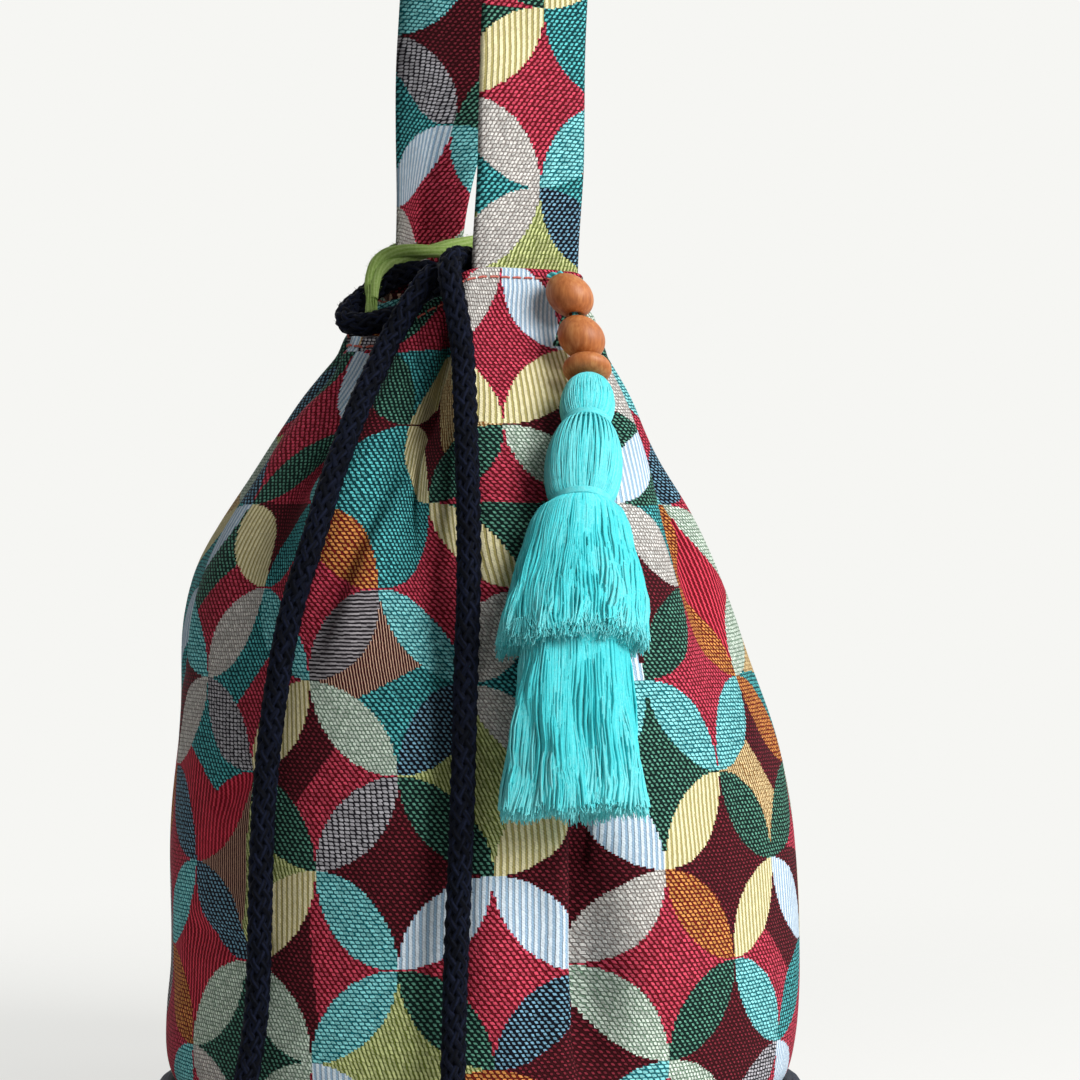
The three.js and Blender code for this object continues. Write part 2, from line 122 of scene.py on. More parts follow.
def evenly(points, step):
    lengths = travelAlong(points)
    count = max(2, int(round(lengths[-1] / step)) + 1)
    at = np.linspace(0, lengths[-1], count)
    return np.stack([np.interp(at, lengths, points[:, k]) for k in range(3)], 1)


def newObject(name, mesh, material=None):
    piece = bpy.data.objects.new(name, mesh)
    scene.collection.objects.link(piece)
    if material:
        mesh.materials.append(material)
    return piece


def gridPiece(name, grid, material, wrapRows=False, capped=False, uv=None):
    # a skin over rings of points; uv has one row or column more where the grid closes on itself
    rows, columns = grid.shape[:2]
    r = np.arange(rows if wrapRows else rows - 1)
    r, c = [x.ravel() for x in np.meshgrid(r, np.arange(columns), indexing="ij")]
    r1, c1 = r + 1, c + 1
    corners = np.stack([(r % rows) * columns + c % columns, (r % rows) * columns + c1 % columns,
                        (r1 % rows) * columns + c1 % columns, (r1 % rows) * columns + c % columns], 1)
    p = grid.reshape(-1, 3)
    quad = p[corners]
    volume = np.einsum("ij,ij->i", quad[:, 0], np.cross(quad[:, 1], quad[:, 2])).sum()
    volume += np.einsum("ij,ij->i", quad[:, 0], np.cross(quad[:, 2], quad[:, 3])).sum()
    turn = -1 if volume < 0 else 1
    faces = corners[:, ::turn].tolist()
    if capped:
        faces.append(list(range(columns))[::-turn])
        faces.append(list(range((rows - 1) * columns, rows * columns))[::turn])
    mesh = bpy.data.meshes.new(name)
    mesh.from_pydata(p.tolist(), [], faces)
    if uv is not None:
        layer = mesh.uv_layers.new(name="weave")
        loops = np.stack([uv[r, c], uv[r, c1], uv[r1, c1], uv[r1, c]], 1)[:, ::turn]
        values = np.zeros((len(mesh.loops), 2), np.float32)
        values[:4 * len(loops)] = loops.reshape(-1, 2)
        layer.data.foreach_set("uv", values.ravel())
    mesh.shade_smooth()
    mesh.update()
    return newObject(name, mesh, material)


def guideMesh(name, points):
    # loose edges along a run of points, for a node tree to work on
    mesh = bpy.data.meshes.new(name)
    mesh.from_pydata([tuple(q) for q in points], [(k, k + 1) for k in range(len(points) - 1)], [])
    return mesh


def newTree(name, sockets):
    tree = bpy.data.node_groups.new(name, "GeometryNodeTree")
    tree.interface.new_socket("Geometry", in_out="INPUT", socket_type="NodeSocketGeometry")
    for label, kind in sockets:
        tree.interface.new_socket(label, in_out="INPUT", socket_type="NodeSocket" + kind)
    tree.interface.new_socket("Geometry", in_out="OUTPUT", socket_type="NodeSocketGeometry")
    return tree, tree.nodes.new("NodeGroupInput").outputs


def endTree(tree, geometry, material):
    solid = addNode(tree, "GeometryNodeRealizeInstances", {0: geometry})
    dressed = addNode(tree, "GeometryNodeSetMaterial", {"Geometry": solid, "Material": material})
    addNode(tree, "NodeGroupOutput", {0: dressed})


def grow(name, tree, guide, values):
    # runs a node tree on a guide mesh and keeps what it makes as a plain mesh
    host = newObject(name, guide)
    modifier = host.modifiers.new("grow", "NODES")
    modifier.node_group = tree
    for item in tree.interface.items_tree:
        if item.in_out == "INPUT" and item.name in values:
            modifier[item.identifier] = values[item.name]
    graph = bpy.context.evaluated_depsgraph_get()
    mesh = bpy.data.meshes.new_from_object(host.evaluated_get(graph), preserve_all_data_layers=True,
                                           depsgraph=graph)
    host.modifiers.remove(modifier)
    host.data = mesh
    mesh.name = name
    mesh.shade_smooth()
    return host


# camera, floor and light

view = {"azimuth": -27, "distance": 1.2, "height": .193, "aside": .0207, "frameWidth": .3726}
turn = math.radians(view["azimuth"])
viewBack = Vector((math.sin(turn), -math.cos(turn), 0))
viewRight = Vector((math.cos(turn), math.sin(turn), 0))
viewTarget = Vector((0, 0, view["height"])) + viewRight * view["aside"]
cameraData = bpy.data.cameras.new("camera")
cameraData.sensor_width = 36
cameraData.lens = 36 * view["distance"] / view["frameWidth"]
camera = bpy.data.objects.new("camera", cameraData)
camera.location = viewTarget + viewBack * view["distance"]
camera.rotation_euler = (-viewBack).to_track_quat("-Z", "Y").to_euler()
scene.collection.objects.link(camera)
scene.camera = camera
scene.view_settings.view_transform = "Standard"

studio = {
    "paper": "#f6f6f3", "paperGlow": .72, "world": .18, "aim": .17,
    "floorRadius": 1.1, "floorCorners": 64, "floorFade": (.2, .75),
    # m to the right, towards the camera and up from the aim, size in m, power in W
    "lamps": {
        "keyLight": ((1.0, .9, .75), .85, 29),
        "sideLight": ((1.1, -.3, .5), .6, 3),
        "backLight": ((-.25, -1.25, .7), .9, 5),
    },
}
lampAim = Vector((0, 0, studio["aim"]))
for name, ((right, back, up), size, power) in studio["lamps"].items():
    lampData = bpy.data.lights.new(name, "AREA")
    lampData.size = size
    lampData.energy = power
    lamp = bpy.data.objects.new(name, lampData)
    lamp.location = lampAim + viewRight * right + viewBack * back + Vector((0, 0, up))
    lamp.rotation_euler = (lampAim - lamp.location).to_track_quat("-Z", "Y").to_euler()
    scene.collection.objects.link(lamp)


# what the camera sees behind the bag is the paper's own colour; the bag is lit by the plain world
def seenDirectly(tree):
    path = addNode(tree, "ShaderNodeLightPath").outputs
    seen = addNode(tree, "ShaderNodeMath", {0: path["Is Camera Ray"], 1: path["Is Glossy Ray"]},
                   operation="MAXIMUM")
    return addNode(tree, "ShaderNodeMath", {0: seen, 1: path["Is Transmission Ray"]}, operation="MAXIMUM")


world = bpy.data.worlds.new("studio")
world.use_nodes = True
scene.world = world
tree = world.node_tree
tree.nodes.clear()
sky = addNode(tree, "ShaderNodeBackground", {"Color": (1, 1, 1, 1), "Strength": studio["world"]})
paper = addNode(tree, "ShaderNodeBackground", {"Color": linearColor(studio["paper"]), "Strength": 1.0})
mixed = addNode(tree, "ShaderNodeMixShader", {0: seenDirectly(tree), 1: sky, 2: paper})
addNode(tree, "ShaderNodeOutputWorld", {"Surface": mixed})

floorPaper = bpy.data.materials.new("matt backdrop paper")
floorPaper.use_nodes = True
tree = floorPaper.node_tree
tree.nodes.clear()
matt = addNode(tree, "ShaderNodeBsdfDiffuse", {"Color": linearColor(studio["paper"])})
glow = addNode(tree, "ShaderNodeEmission", {"Color": linearColor(studio["paper"]), "Strength": 1.0})
share = addNode(tree, "ShaderNodeMath", {0: seenDirectly(tree), 1: studio["paperGlow"]},
                operation="MULTIPLY")
mixed = addNode(tree, "ShaderNodeMixShader", {0: share, 1: matt, 2: glow})
clear = addNode(tree, "ShaderNodeBsdfTransparent")
spot = addNode(tree, "ShaderNodeTexCoord")
away = addNode(tree, "ShaderNodeVectorMath", {0: spot.outputs["Object"]}, operation="LENGTH")
fade = addNode(tree, "ShaderNodeMapRange",
               {0: away.outputs["Value"], 1: studio["floorFade"][0], 2: studio["floorFade"][1]},
               interpolation_type="SMOOTHSTEP")
mixed = addNode(tree, "ShaderNodeMixShader", {0: fade, 1: mixed, 2: clear})
addNode(tree, "ShaderNodeOutputMaterial", {"Surface": mixed})
floorMesh = bpy.data.meshes.new("floor")
floorEdge = [(studio["floorRadius"] * math.cos(a), studio["floorRadius"] * math.sin(a), 0)
             for a in turnsOf(studio["floorCorners"])]
floorMesh.from_pydata(floorEdge, [], [list(range(len(floorEdge)))])
newObject("floor", floorMesh, floorPaper)
print("camera, floor and light made")


# materials

def newMaterial(name):
    material = bpy.data.materials.new(name)
    material.use_nodes = True
    material.node_tree.nodes.clear()
    return material, material.node_tree


# jacquard tapestry in cotton and polyester: petals and fields of colour between overlapping circles, stepped
# where threads cross, each with its own floats of weft; matt, with a low relief of ribs and flecks
cloth = {
    "halfDiagonal": (30.0, 30.4),  # mm, of the diamonds that the circles' crossings make
    "origin": (435.5, 176.0),  # mm, one crossing of circles
    "thread": (2.1, 1.28),  # mm, across and up
    "step": (1.05, .64),  # mm, the steps in the colours' edges
    "sway": ((40.0, 2.4), (1.7, .35)),  # mm, length and reach of the waves that the threads lie in
    "swayUp": .8,  # how much of that reach there is up and down
    "relief": .0005,  # m
    "seed": 3.0,
    "parted": .5,  # the share of fields in two colours
    "ribbed": (.42, .6),  # a third of a float's height in threads: from flecks to ribs
    # for flecks and for ribs: how far a float strays, its slant from the twist of the yarn,
    # and how dark the painted shade in the gaps round floats, the ticks in the ground and the darkest floats
    # are
    "astray": (.2, .03), "slant": (.36, .05), "gapPaintedShade": (.42, .9), "tickShade": (.62, .9),
    "floatShade": (.66, .93),
    "floatEdge": (.55, 1.25), "gapEdge": (.9, 3.0),  # where they fade, with 1 at the rounded dash's edge
    "ticks": (4.6, 6.3, 0),  # turns of the yarn's twist, in radians to a mm across and up
    "tickLight": 1.12, "tickOver": .07, "floatLight": 1.1,
    "fibreWaves": 2.6, "dyeWaves": .03,  # waves in a mm
    "fibreShade": (.8, 1.14), "dyeShade": .3, "fibreRelief": .35,
    # share, ground colour, float colour,
    # and the floats: each row's shift, width and height in threads, columns to a thread
    "petals": [
        (.12, "#9cb9d2", "#dae6ef", (0, .58, 2.4, 1)),
        (.10, "#bdb3ac", "#e3dfd9", (.5, .8, .88, 1.5)),
        (.11, "#b0a468", "#e9dfb4", (0, .62, 2.4, 1)),
        (.07, "#94b198", "#e2f0e1", (.5, .74, .86, 1.5)),
        (.10, "#1f7f8a", "#92e6e8", (.5, .84, .78, 1)),
        (.07, "#0b454b", "#60c8ca", (.5, .6, .8, 1)),
        (.11, "#08211d", "#62a089", (.5, .52, .72, 1)),
        (.10, "#0a0e1b", "#7eafc8", (.5, .56, .72, 1)),
        (.09, "#7d2019", "#e29852", (.5, .66, .8, 1)),
        (.05, "#2f2c33", "#c2bfc5", (.06, .8, .78, 1)),
        (.04, "#272327", "#aaa4a8", (0, 2.4, .55, 1)),
        (.04, "#7c0c1c", "#de4056", (0, .5, 1.6, 1)),
    ],
    "fields": [
        (.10, "#08211d", "#62a089", (.5, .52, .72, 1)),
        (.09, "#0b454b", "#60c8ca", (.5, .6, .8, 1)),
        (.17, "#390910", "#842b38", (.5, .5, .66, 1)),
        (.08, "#98652f", "#efd59f", (.3, .62, 1.1, 1.5)),
        (.35, "#74121f", "#de4e65", (.5, .62, .88, 1)),
        (.08, "#6c0a18", "#e2465b", (0, .44, 1.6, 1)),
        (.06, "#7c8a3f", "#d6dd99", (.3, .64, 1.1, 1.5)),
        (.07, "#330b0f", "#d4ad94", (0, .34, 2.4, 2)),
    ],
}


def setRamp(ramp, rows, pick):
    ramp.interpolation = "CONSTANT"
    at = 0
    for k, row in enumerate(rows):
        stop = ramp.elements[k] if k < 2 else ramp.elements.new(at)
        stop.position = at
        stop.color = pick(row)
        at += row[0]


def floatSize(row):
    shift, width, height, columns = row[3]
    return (shift, width / 3, height / 3, columns / 2)  # parts, so that a ramp's colour can hold them


tapestry, tree = newMaterial("jacquard tapestry")
uvMap = addNode(tree, "ShaderNodeUVMap", uv_map="weave")
mm = addNode(tree, "ShaderNodeVectorMath", {0: uvMap, 1: (1000, 1000, 0)}, operation="MULTIPLY")
# threads never lie quite straight
laid = mm
for size, reach in cloth["sway"]:
    sway = addNode(tree, "ShaderNodeTexNoise", {"Vector": mm, "Scale": 1 / size, "Detail": 1.0},
                   noise_dimensions="2D")
    sway = addNode(tree, "ShaderNodeVectorMath", {0: sway.outputs["Color"], 1: (.5, .5, .5)},
                   operation="SUBTRACT")
    sway = addNode(tree, "ShaderNodeVectorMath", {0: sway, 1: (reach, cloth["swayUp"] * reach, 0)},
                   operation="MULTIPLY")
    laid = addNode(tree, "ShaderNodeVectorMath", {0: laid, 1: sway}, operation="ADD")
steps = addNode(tree, "ShaderNodeVectorMath", {0: laid, 1: (*cloth["step"], 1)}, operation="SNAP")
rest = addNode(tree, "ShaderNodeVectorMath", {0: steps, 1: (*cloth["origin"], 0)}, operation="SUBTRACT")
wide, high = cloth["halfDiagonal"]
fall = addNode(tree, "ShaderNodeVectorMath", {0: rest, 1: (.5 / wide, -.5 / high, 0)},
               operation="DOT_PRODUCT")
rise = addNode(tree, "ShaderNodeVectorMath", {0: rest, 1: (.5 / wide, .5 / high, 0)},
               operation="DOT_PRODUCT")
spot = addNode(tree, "ShaderNodeCombineXYZ", {0: fall.outputs["Value"], 1: rise.outputs["Value"], 2: 0.0})
cell = addNode(tree, "ShaderNodeVectorMath", {0: spot}, operation="FLOOR")
inside = addNode(tree, "ShaderNodeVectorMath", {0: spot}, operation="FRACTION")
centred = addNode(tree, "ShaderNodeVectorMath", {0: inside, 1: (.5, .5, 0)}, operation="SUBTRACT")
away = addNode(tree, "ShaderNodeVectorMath", {0: centred}, operation="ABSOLUTE")
away = addNode(tree, "ShaderNodeSeparateXYZ", {0: away})
upright = addNode(tree, "ShaderNodeMath", {0: away.outputs[1], 1: away.outputs[0]},
                  operation="GREATER_THAN")
far = addNode(tree, "ShaderNodeMath", {0: away.outputs[0], 1: away.outputs[1]}, operation="MAXIMUM")
near = addNode(tree, "ShaderNodeMath", {0: away.outputs[0], 1: away.outputs[1]}, operation="MINIMUM")
left = addNode(tree, "ShaderNodeMath", {0: 1.0, 1: far}, operation="SUBTRACT")
toCircle = addNode(tree, "ShaderNodeCombineXYZ", {0: near, 1: left, 2: 0.0})
toCircle = addNode(tree, "ShaderNodeVectorMath", {0: toCircle}, operation="LENGTH")
petal = addNode(tree, "ShaderNodeMath", {0: toCircle.outputs["Value"], 1: math.sqrt(.5)},
                operation="LESS_THAN")
# a number for each petal and field, the same from both sides of a cell's edge
side = addNode(tree, "ShaderNodeSeparateXYZ", {0: inside})
sideX = addNode(tree, "ShaderNodeMath", {0: side, 1: .5}, operation="GREATER_THAN")
sideY = addNode(tree, "ShaderNodeMath", {0: side.outputs[1], 1: .5}, operation="GREATER_THAN")
level = addNode(tree, "ShaderNodeMath", {0: 1.0, 1: upright}, operation="SUBTRACT")
stepX = addNode(tree, "ShaderNodeMath", {0: sideX, 1: level}, operation="MULTIPLY")
stepY = addNode(tree, "ShaderNodeMath", {0: sideY, 1: upright}, operation="MULTIPLY")
kind = addNode(tree, "ShaderNodeMath", {0: upright, 1: 1.0}, operation="ADD")
onEdge = addNode(tree, "ShaderNodeCombineXYZ", {0: stepX, 1: stepY, 2: kind})
onEdge = addNode(tree, "ShaderNodeVectorMath", {0: onEdge, "Scale": petal}, operation="SCALE")
number = addNode(tree, "ShaderNodeVectorMath", {0: cell, 1: onEdge}, operation="ADD")
number = addNode(tree, "ShaderNodeVectorMath", {0: number, 1: (.5, .5, cloth["seed"])}, operation="ADD")
# some fields change colour along a line across them
split = addNode(tree, "ShaderNodeTexWhiteNoise", {"Vector": number, "W": cloth["seed"]},
                noise_dimensions="4D")
lean = addNode(tree, "ShaderNodeVectorMath", {0: split.outputs["Color"], 1: (.5, .5, .5)},
               operation="SUBTRACT")
lean = addNode(tree, "ShaderNodeVectorMath", {0: lean, 1: centred}, operation="DOT_PRODUCT")
beyond = addNode(tree, "ShaderNodeMath", {0: lean.outputs["Value"], 1: 0.0}, operation="GREATER_THAN")
parted = addNode(tree, "ShaderNodeMath", {0: split.outputs["Value"], 1: cloth["parted"]},
                 operation="LESS_THAN")
beyond = addNode(tree, "ShaderNodeMath", {0: beyond, 1: parted}, operation="MULTIPLY")
field = addNode(tree, "ShaderNodeMath", {0: 1.0, 1: petal}, operation="SUBTRACT")
beyond = addNode(tree, "ShaderNodeMath", {0: beyond, 1: field}, operation="MULTIPLY")
beyond = addNode(tree, "ShaderNodeCombineXYZ", {0: 0.0, 1: 0.0, 2: beyond})
number = addNode(tree, "ShaderNodeVectorMath", {0: number, 1: beyond}, operation="ADD")
chance = addNode(tree, "ShaderNodeTexWhiteNoise", {"Vector": number}, noise_dimensions="3D")
picks = []
for pick in (lambda row: linearColor(row[1]), lambda row: linearColor(row[2]), floatSize):
    ramps = []
    for rows in (cloth["fields"], cloth["petals"]):
        ramp = addNode(tree, "ShaderNodeValToRGB", {0: chance.outputs["Value"]})
        setRamp(ramp.color_ramp, rows, pick)
        ramps.append(ramp)
    chosen = addNode(tree, "ShaderNodeMix", {0: petal, 6: ramps[0], 7: ramps[1]}, data_type="RGBA")
    picks.append(chosen.outputs[2])
ground, floats, size = picks
columns = addNode(tree, "ShaderNodeMix", {0: petal, 2: ramps[0].outputs[1], 3: ramps[1].outputs[1]},
                  data_type="FLOAT")
# floats of weft: a rounded dash in every thread crossing, shifted row by row, with painted shade in the gap
# round it
threads = addNode(tree, "ShaderNodeVectorMath", {0: laid, 1: (*cloth["thread"], 1)}, operation="DIVIDE")
threads = addNode(tree, "ShaderNodeSeparateXYZ", {0: threads})
size = addNode(tree, "ShaderNodeSeparateColor", {0: size})
ribbed = addNode(tree, "ShaderNodeMapRange",
                 {0: size.outputs[2], 1: cloth["ribbed"][0], 2: cloth["ribbed"][1]})
acrossThreads = addNode(tree, "ShaderNodeMath", {0: threads, 1: columns}, operation="MULTIPLY")
acrossThreads = addNode(tree, "ShaderNodeMath", {0: acrossThreads, 1: 2.0}, operation="MULTIPLY")
row = addNode(tree, "ShaderNodeMath", {0: threads.outputs[1]}, operation="FLOOR")
shifted = addNode(tree, "ShaderNodeMath", {0: row, 1: size, 2: acrossThreads}, operation="MULTIPLY_ADD")
column = addNode(tree, "ShaderNodeMath", {0: shifted}, operation="FLOOR")
crossing = addNode(tree, "ShaderNodeCombineXYZ", {0: column, 1: row, 2: cloth["seed"]})
crossing = addNode(tree, "ShaderNodeTexWhiteNoise", {"Vector": crossing}, noise_dimensions="3D")
patch = addNode(tree, "ShaderNodeCombineXYZ", {0: shifted, 1: threads.outputs[1], 2: 0.0})
patch = addNode(tree, "ShaderNodeVectorMath", {0: patch}, operation="FRACTION")
jitter = addNode(tree, "ShaderNodeVectorMath", {0: crossing.outputs["Color"], 1: (.5, .5, .5)},
                 operation="SUBTRACT")
fleck, rib = cloth["astray"]
astray = addNode(tree, "ShaderNodeMapRange", {0: ribbed, 3: fleck, 4: rib})
jitter = addNode(tree, "ShaderNodeVectorMath", {0: jitter, "Scale": astray}, operation="SCALE")
jitter = addNode(tree, "ShaderNodeVectorMath", {0: jitter, 1: (.5, .5, .5)}, operation="ADD")
patch = addNode(tree, "ShaderNodeVectorMath", {0: patch, 1: jitter}, operation="SUBTRACT")
patch = addNode(tree, "ShaderNodeSeparateXYZ", {0: patch})
fleck, rib = cloth["slant"]
slant = addNode(tree, "ShaderNodeMapRange", {0: ribbed, 3: fleck, 4: rib})
aslant = addNode(tree, "ShaderNodeMath", {0: patch.outputs[1], 1: slant, 2: patch.outputs[0]},
                 operation="MULTIPLY_ADD")
patch = addNode(tree, "ShaderNodeCombineXYZ", {0: aslant, 1: patch.outputs[1], 2: 0.0})
reach = addNode(tree, "ShaderNodeCombineXYZ", {0: size.outputs[1], 1: size.outputs[2], 2: 1.0})
reach = addNode(tree, "ShaderNodeVectorMath", {0: reach, "Scale": 1.5}, operation="SCALE")
patch = addNode(tree, "ShaderNodeVectorMath", {0: patch, 1: reach}, operation="DIVIDE")
patch = addNode(tree, "ShaderNodeVectorMath", {0: patch, 1: patch}, operation="MULTIPLY")
patch = addNode(tree, "ShaderNodeVectorMath", {0: patch}, operation="LENGTH")
inner, outer = cloth["floatEdge"]
shown = addNode(tree, "ShaderNodeMapRange",
                {0: patch.outputs["Value"], 1: inner, 2: outer, 3: 1.0, 4: 0.0},
                interpolation_type="SMOOTHSTEP")
# the ground darkens towards each float's edge: painted shade in the gap round it
fleck, rib = cloth["gapPaintedShade"]
deepestPaintedShade = addNode(tree, "ShaderNodeMapRange", {0: ribbed, 3: fleck, 4: rib})
inner, outer = cloth["gapEdge"]
shadePaintedInGap = addNode(tree, "ShaderNodeMapRange",
                 {0: patch.outputs["Value"], 1: inner, 2: outer, 3: deepestPaintedShade, 4: 1.0})
ticks = addNode(tree, "ShaderNodeVectorMath", {0: laid, 1: cloth["ticks"]}, operation="DOT_PRODUCT")
ticks = addNode(tree, "ShaderNodeMath", {0: ticks.outputs["Value"]}, operation="SINE")
fleck, rib = cloth["tickShade"]
faintest = addNode(tree, "ShaderNodeMapRange", {0: ribbed, 3: fleck, 4: rib})
under = addNode(tree, "ShaderNodeMapRange", {0: ticks, 1: -1.0, 3: faintest, 4: cloth["tickLight"]})
under = addNode(tree, "ShaderNodeMath", {0: under, 1: shadePaintedInGap}, operation="MULTIPLY")
ground = addNode(tree, "ShaderNodeVectorMath", {0: ground, "Scale": under}, operation="SCALE")
fleck, rib = cloth["floatShade"]
least = addNode(tree, "ShaderNodeMapRange", {0: ribbed, 3: fleck, 4: rib})
uneven = addNode(tree, "ShaderNodeMapRange",
                 {0: crossing.outputs["Value"], 3: least, 4: cloth["floatLight"]})
over = addNode(tree, "ShaderNodeMath", {0: ticks, 1: cloth["tickOver"], 2: uneven},
               operation="MULTIPLY_ADD")
floats = addNode(tree, "ShaderNodeVectorMath", {0: floats, "Scale": over}, operation="SCALE")
colour = addNode(tree, "ShaderNodeMix", {0: shown, 6: ground, 7: floats}, data_type="RGBA")
# fibres and faint unevenness of the dye
fibres = addNode(tree, "ShaderNodeTexNoise", {"Vector": mm, "Scale": cloth["fibreWaves"], "Detail": 3.0})
dye = addNode(tree, "ShaderNodeTexNoise", {"Vector": mm, "Scale": cloth["dyeWaves"], "Detail": 2.0})
darkest, lightest = cloth["fibreShade"]
shade = addNode(tree, "ShaderNodeMapRange",
                {0: fibres.outputs["Fac"], 1: .3, 2: .7, 3: darkest, 4: lightest})
shade = addNode(tree, "ShaderNodeMath", {0: dye.outputs["Fac"], 1: cloth["dyeShade"], 2: shade},
                operation="MULTIPLY_ADD")
shade = addNode(tree, "ShaderNodeMath", {0: shade, 1: .5 * cloth["dyeShade"]}, operation="SUBTRACT")
colour = addNode(tree, "ShaderNodeVectorMath", {0: colour.outputs[2], "Scale": shade}, operation="SCALE")
height = addNode(tree, "ShaderNodeMath", {0: fibres.outputs["Fac"], 1: cloth["fibreRelief"], 2: shown},
                 operation="MULTIPLY_ADD")
bump = addNode(tree, "ShaderNodeBump", {"Strength": .9, "Distance": cloth["relief"], "Height": height})
surface = addNode(tree, "ShaderNodeBsdfPrincipled", {
    "Base Color": colour, "Normal": bump, "Roughness": .88, "Specular IOR Level": .12})
addNode(tree, "ShaderNodeOutputMaterial", {"Surface": surface})

# plain-woven cotton, dyed navy for the base and piping and near black for the lining:
# dull, with a fine even grain
cotton = {
    "thread": .9,  # mm; the real ones are nearer .3 and are drawn coarser so that they show
    "relief": .00025,  # m
    "lint": 900.0,  # waves in a metre
    "navy": ("#10131f", "#262b41"),
    "lining": ("#0c0c10", "#1e1e25"),
}
cottons = {}
for label in ("navy", "lining"):
    cottons[label], tree = newMaterial("plain-woven cotton, " + label)
    uvMap = addNode(tree, "ShaderNodeUVMap", uv_map="weave")
    turns = addNode(tree, "ShaderNodeVectorMath", {0: uvMap, "Scale": 1000 * math.pi / cotton["thread"]},
                    operation="SCALE")
    turns = addNode(tree, "ShaderNodeVectorMath", {0: turns}, operation="SINE")
    turns = addNode(tree, "ShaderNodeSeparateXYZ", {0: turns})
    over = addNode(tree, "ShaderNodeMath", {0: turns.outputs[0], 1: turns.outputs[1]}, operation="MULTIPLY")
    lint = addNode(tree, "ShaderNodeTexNoise", {"Vector": uvMap, "Scale": cotton["lint"], "Detail": 4.0})
    height = addNode(tree, "ShaderNodeMath", {0: over, 1: .5, 2: lint.outputs["Fac"]},
                     operation="MULTIPLY_ADD")
    ramp = addNode(tree, "ShaderNodeValToRGB", {0: height})
    for stop, shade in zip(ramp.color_ramp.elements, cotton[label]):
        stop.color = linearColor(shade)
    bump = addNode(tree, "ShaderNodeBump", {"Strength": .7, "Distance": cotton["relief"], "Height": height})
    surface = addNode(tree, "ShaderNodeBsdfPrincipled", {
        "Base Color": ramp, "Normal": bump, "Roughness": .9, "Specular IOR Level": .25,
        "Sheen Weight": .1, "Sheen Roughness": .5})
    addNode(tree, "ShaderNodeOutputMaterial", {"Surface": surface})

# spun yarns: plies twisted together, which show as fine slanting lines on every strand,
# with a soft sheen of loose fibre
yarns = {
    # dark, middle and light colours, lines round a strand, mm along for one turn of the ply,
    # depth of the lines, sheen, gloss
    "braided cotton cord, navy": ("#020308", "#06080f", "#131829", 4, 7.0, .3, .02, .06),
    "soft acrylic yarn, green": ("#6b8a3c", "#96b65a", "#bcd386", 9, 22.0, .2, .2, .15),
    "cotton tassel yarn, turquoise": ("#44cbd1", "#57d5da", "#82dfe2", 2, 5.0, .08, .12, .05),
    "polyester sewing thread, salmon": ("#a8493f", "#d0796a", "#eaaa98", 2, 1.2, .25, .1, .2),
}
fluffy = {"waves": 1400.0, "toneTurn": 37.0, "toneShare": .55, "tones": (.25, 1.3), "middle": .45,
          "relief": .0002}
yarn = {}
for label, (dark, middle, light, lines, ply, depth, sheen, gloss) in yarns.items():
    yarn[label.split(", ")[1]], tree = newMaterial(label)
    along = addNode(tree, "ShaderNodeAttribute", attribute_name="along")
    around = addNode(tree, "ShaderNodeAttribute", attribute_name="around")
    tone = addNode(tree, "ShaderNodeAttribute", attribute_name="tone")
    pitch = addNode(tree, "ShaderNodeMath", {0: along.outputs["Fac"], 1: 2000 * math.pi / ply},
                    operation="MULTIPLY")
    slant = addNode(tree, "ShaderNodeMath", {0: around.outputs["Fac"], 1: 2 * math.pi * lines, 2: pitch},
                    operation="MULTIPLY_ADD")
    slant = addNode(tree, "ShaderNodeMath", {0: tone.outputs["Fac"], 1: fluffy["toneTurn"], 2: slant},
                    operation="MULTIPLY_ADD")
    lineUp = addNode(tree, "ShaderNodeMath", {0: slant}, operation="SINE")
    places = addNode(tree, "ShaderNodeTexCoord")
    fluff = addNode(tree, "ShaderNodeTexNoise",
                    {"Vector": places.outputs["Object"], "Scale": fluffy["waves"], "Detail": 3.0})
    height = addNode(tree, "ShaderNodeMath", {0: lineUp, 1: depth, 2: fluff.outputs["Fac"]},
                     operation="MULTIPLY_ADD")
    toned = addNode(tree, "ShaderNodeMath", {0: tone.outputs["Fac"], 1: fluffy["toneShare"], 2: height},
                    operation="MULTIPLY_ADD")
    low, high = fluffy["tones"]
    toned = addNode(tree, "ShaderNodeMapRange", {0: toned, 1: low, 2: high})
    ramp = addNode(tree, "ShaderNodeValToRGB", {0: toned})
    for stop, shade in zip(ramp.color_ramp.elements, (dark, light)):
        stop.color = linearColor(shade)
    ramp.color_ramp.elements.new(fluffy["middle"]).color = linearColor(middle)
    bump = addNode(tree, "ShaderNodeBump", {"Strength": .6, "Distance": fluffy["relief"], "Height": height})
    surface = addNode(tree, "ShaderNodeBsdfPrincipled", {
        "Base Color": ramp, "Normal": bump, "Roughness": .75, "Specular IOR Level": gloss,
        "Sheen Weight": sheen, "Sheen Roughness": .4, "Sheen Tint": linearColor(light)})
    addNode(tree, "ShaderNodeOutputMaterial", {"Surface": surface})

# oiled beech beads: warm orange brown, turned and polished to a satin, with fine darker grain along the bore
beechWood = {
    "dark": "#95501f", "middle": "#b0662f", "light": "#c8854c",
    "grain": (900, 900, 140),  # waves in a metre, so about 1 mm across the grain and 7 mm along it
    "tilt": (.42, .3, .2),
    "rays": 130.0,  # waves in a metre
    "roughness": (.6, .46), "relief": .0002, "coat": .06, "coatRoughness": .38,
}
beech, tree = newMaterial("oiled beech")
places = addNode(tree, "ShaderNodeTexCoord")
grainWay = addNode(tree, "ShaderNodeMapping", {
    "Vector": places.outputs["Object"], "Rotation": beechWood["tilt"], "Scale": beechWood["grain"]})
grain = addNode(tree, "ShaderNodeTexNoise",
                {"Vector": grainWay, "Scale": 1.0, "Detail": 5.0, "Roughness": .6})
rays = addNode(tree, "ShaderNodeTexNoise",
               {"Vector": places.outputs["Object"], "Scale": beechWood["rays"], "Detail": 2.0})
